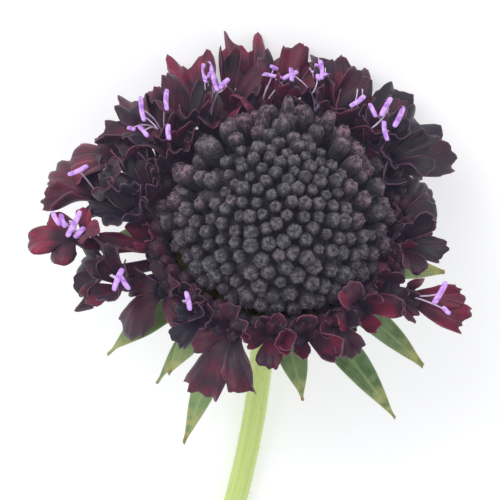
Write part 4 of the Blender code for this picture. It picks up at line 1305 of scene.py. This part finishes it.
BRACTS = tuple(
    Bract(*row)
    for row in (
        (-143, 18.0, 3.9, 14, 0.6),
        (-126, 17.0, 2.6, 26, 0.2),
        (-121, 14.5, 3.6, 12, 0.75),
        (-107, 21.5, 3.4, 22, 0.45),
        (-69, 14.0, 3.8, 20, 0.3),
        (-43, 22.0, 4.2, 14, 0.0),
        (-23, 19.0, 3.9, 14, 0.1),
        (7, 19.5, 4.0, 8, 0.3),
        (38, 15.0, 3.8, 18),
        (72, 12.0, 3.6, 18),
        (108, 12.0, 3.6, 18),
        (142, 15.5, 3.8, 18),
        (175, 16.5, 3.9, 16),
    )
)


@dataclass
class Bracts:
    """The lance-shaped bracts that spread below the head in two whorls."""

    head: Head
    rows: int = 44
    columns: int = 15
    wall: float = 0.32 * MM
    solid_wall: float = 0.65 * MM
    rib_wall: float = 0.28 * MM
    root_radii: tuple[float, float] = (5.8 * MM, 4.3 * MM)
    root_heights: tuple[float, float] = (-5.5 * MM, -6.9 * MM)

    def middle(self, number: int, bract: Bract) -> Array:
        """Middle surface of one bract.

        The half width swells from the root as a sine and closes at the tip. The blade sinks
        as it runs outwards, folds up from its midrib and twists a little in waves.

        Args:
            number: its place in the whorls, from 1.
            bract: its turn and sizes.

        Returns:
            Points by row, column and axis, in the head's frame.
        """
        turn, length = math.radians(bract.turn), bract.length * MM
        whorl = (number - 1) % 2
        along = np.linspace(0.0, 1.0, self.rows)[:, None]
        across = np.linspace(-1.0, 1.0, self.columns)[None, :]
        sway = np.random.default_rng(200 + number).uniform(-0.06, 0.06)
        half = 0.5 * bract.width * MM * (0.22 + 0.80 * np.sin(math.pi * along**1.15))
        half = np.maximum(half * (1.0 - along**9), 0.06 * MM)
        slope = math.radians(bract.droop) * (0.45 + 0.8 * along)
        run = self.root_radii[whorl] + length * along * np.cos(slope)
        sink = self.root_heights[whorl] - length * along * np.sin(slope)
        fold = 0.22 * np.abs(across) * half + 0.5 * MM * np.sin(7.0 * along + number) * along * across
        fold = fold + 0.12 * MM * np.sin(31.0 * along + 2.0 * number) * np.abs(across) ** 3 * (1.0 - along)
        side = half * across + sway * length * along * along
        x = run * math.cos(turn) - side * math.sin(turn)
        y = run * math.sin(turn) + side * math.cos(turn)
        return self.head.lift_off_table(np.stack((x, y, sink + fold), -1), self.solid_wall)

    def build(self) -> None:
        """Makes a piece for each bract, which stands for its node."""
        leaf = LeafFinish().material()
        for number, bract in enumerate(BRACTS, start=1):
            skin = Skin()
            middle = self.middle(number, bract)
            across = np.abs(np.linspace(-1.0, 1.0, self.columns))[None, :]
            along = np.linspace(0.0, 1.0, self.rows)[:, None]
            rib = np.exp(-((across / 0.12) ** 2)) * (1.0 - 0.7 * along)
            wall = self.wall * (1.0 - 0.6 * across**4) + self.rib_wall * rib
            skin.add_blade(self.head.world(middle), wall, bract.pale)
            piece = skin.build(f"bract_{number:02d}_fine", leaf, "leaf")
            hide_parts(f"bract_{number:02d}")


@dataclass
class Stem:
    """The cut stem that bends down from the head and lies along the table."""

    head: Head
    radius: float = 1.5 * MM
    length: float = 104.0 * MM
    bend_length: float = 42.0 * MM
    yaw: float = math.radians(19.0)
    top: float = -5.4 * MM
    rest_depth: float = 0.12 * MM
    cup_top: float = -4.75 * MM
    cup_height: float = 3.6 * MM
    cup_radius: float = 5.2 * MM
    last_station: int = 501
    columns: int = 48
    ribs: int = 8
    rib_height: float = 0.008 * MM
    cut_share: float = 0.62
    hollow_share: float = 0.28
    hollow_depth: float = 0.8 * MM
    hairs: int = 420

    def path(self) -> Array:
        """Middle line: it leaves the head along the axis, and its slope and heading ease out."""
        axis = self.head.turn @ UP
        top = self.head.world(self.top * UP)
        slope = math.asin(axis[2])
        rest = self.radius - self.rest_depth
        at = np.linspace(0.0, self.length, 520)
        bend = (top[2] - rest) * slope / (1.0 - math.cos(slope))
        pitch = slope * np.clip(1.0 - at / bend, 0.0, 1.0)
        ease = np.clip((at - 4.0 * MM) / (1.3 * self.bend_length), 0.0, 1.0)
        yaw = self.yaw * ease * ease * (3.0 - 2.0 * ease)
        level = np.cos(pitch)
        heading = np.stack((-np.sin(yaw) * level, -np.cos(yaw) * level, -np.sin(pitch)), axis=1)
        path = top + np.cumsum(heading, axis=0) * (at[1] - at[0])
        path[:, 2] = np.maximum(path[:, 2], rest)
        start = self.head.world(UP * np.linspace(self.cup_top, self.top, 4)[:, None])
        return np.concatenate((start[:-1], path[: self.last_station : 4]))

    def build(self) -> bpy.types.Object:
        """Makes the stem's piece, with the cup under the head, which stands for the node stem."""
        path = self.path()
        run = np.concatenate(((0.0,), np.cumsum(np.linalg.norm(np.diff(path, axis=0), axis=1))))
        share = np.clip(run / self.cup_height, 0.0, 1.0)
        radii = self.radius + (self.cup_radius - self.radius) * (1.0 - share) ** 1.15
        skin = Skin()
        rings = tube_rings(path, radii, self.columns, self.ribs, self.rib_height)
        end = path[-1]
        cut = end + (rings[-1] - end) * self.cut_share
        inwards = self.hollow_depth * unit(path[-2] - path[-1])
        hollow = end + (rings[-1] - end) * self.hollow_share + inwards
        rings = np.concatenate((rings, cut[None], hollow[None]))
        rings[..., 2] = np.maximum(rings[..., 2], 0.0)
        skin.add_tube(rings, 0.5)
        self.downy(skin, path, radii)
        stem = skin.build("stem_fine", StalkFinish().material(), "stalk")
        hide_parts("stem")
        return stem

    def downy(self, skin: Skin, path: Array, radii: Array) -> None:
        """Sparse short hairs that stand out from the stem's upper side."""
        draw = np.random.default_rng(5)
        along = unit(np.gradient(path, axis=0))
        for station in draw.integers(6, len(path) - 2, self.hairs):
            aside = unit(np.cross(along[station], draw.normal(size=3)))
            if aside[2] < -0.4:
                continue
            foot = path[station] + 0.96 * radii[station] * aside
            tip = foot + draw.uniform(0.3, 0.6) * MM * unit(aside + 0.3 * draw.normal(size=3))
            skin.add_tube(tube_rings(np.stack((foot, tip)), np.array((0.03, 0.008)) * MM, 3), 0.9)


@dataclass(frozen=True)
class Lamp:
    """An area lamp: its place and side in metres, and its power in watts."""

    name: str
    place: tuple[float, float, float]
    side: float
    power: float


@dataclass
class Stage:
    """The pale table, the soft lights and the camera."""

    head: Head
    distance: float = 430.0 * MM
    frame_width: float = 62.5 * MM
    table_side: float = 4.0
    aim: tuple[float, float] = (-2.25, -2.5)
    sensor: float = 36.0
    lamps: tuple[Lamp, ...] = (
        Lamp("key", (-0.45, 0.60, 0.70), 0.6, 4.0),
        Lamp("fill", (0.7, 0.2, 0.7), 0.9, 1.0),
    )
    sky: Colour = (0.97, 0.98, 1.0)
    sky_strength: float = 0.85

    def table(self) -> None:
        """A wide flat table under the flower."""
        half = 0.5 * self.table_side
        mesh = bpy.data.meshes.new("table")
        corners = [(-half, -half, 0), (half, -half, 0), (half, half, 0), (-half, half, 0)]
        mesh.from_pydata(corners, [], [(0, 1, 2, 3)])
        mesh.materials.append(TableFinish().material())
        table = bpy.data.objects.new("table", mesh)
        bpy.context.scene.collection.objects.link(table)

    def light(self, lamp: Lamp) -> None:
        """Adds one lamp, turned to the flower."""
        area = bpy.data.lights.new(lamp.name, "AREA")
        area.size = lamp.side
        area.energy = lamp.power
        obj = bpy.data.objects.new(lamp.name, area)
        obj.location = lamp.place
        obj.rotation_euler = (-Vector(lamp.place)).to_track_quat("-Z", "Y").to_euler()
        bpy.context.scene.collection.objects.link(obj)

    def camera(self) -> None:
        """The camera, which looks down on the head from the far side of straight above."""
        pitch = self.head.view_pitch
        right = np.array((1.0, 0.0, 0.0))
        up = np.array((0.0, math.cos(pitch), -math.sin(pitch)))
        back = np.array((0.0, math.sin(pitch), math.cos(pitch)))
        target = self.head.centre + self.aim[0] * MM * right + self.aim[1] * MM * up
        lens = bpy.data.cameras.new("camera")
        lens.sensor_width = self.sensor
        lens.lens = self.sensor * self.distance / self.frame_width
        camera = bpy.data.objects.new("camera", lens)
        camera.location = target + self.distance * back
        camera.rotation_euler = (-pitch, 0.0, 0.0)
        bpy.context.scene.collection.objects.link(camera)
        bpy.context.scene.camera = camera

    def build(self) -> None:
        """Sets up the table, lights, surroundings and camera."""
        self.table()
        for lamp in self.lamps:
            self.light(lamp)
        world = bpy.data.worlds.new("studio")
        world.use_nodes = True
        background = world.node_tree.nodes["Background"].inputs
        background["Color"].default_value = (*self.sky, 1.0)
        background["Strength"].default_value = self.sky_strength
        bpy.context.scene.world = world
        bpy.context.scene.view_settings.view_transform = "Standard"
        self.camera()


def main() -> None:
    """Builds every piece in order."""
    logging.basicConfig(level=logging.INFO, format="%(name)s: %(message)s")
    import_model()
    head = Head()
    Stage(head).build()
    BudDome(head).build()
    ring = FloretRing(head)
    ring.build()
    Stamens(head, ring).build()
    CalyxPad(head).build()
    Bracts(head).build()
    Stem(head).build()


if __name__ == "__main__":
    main()
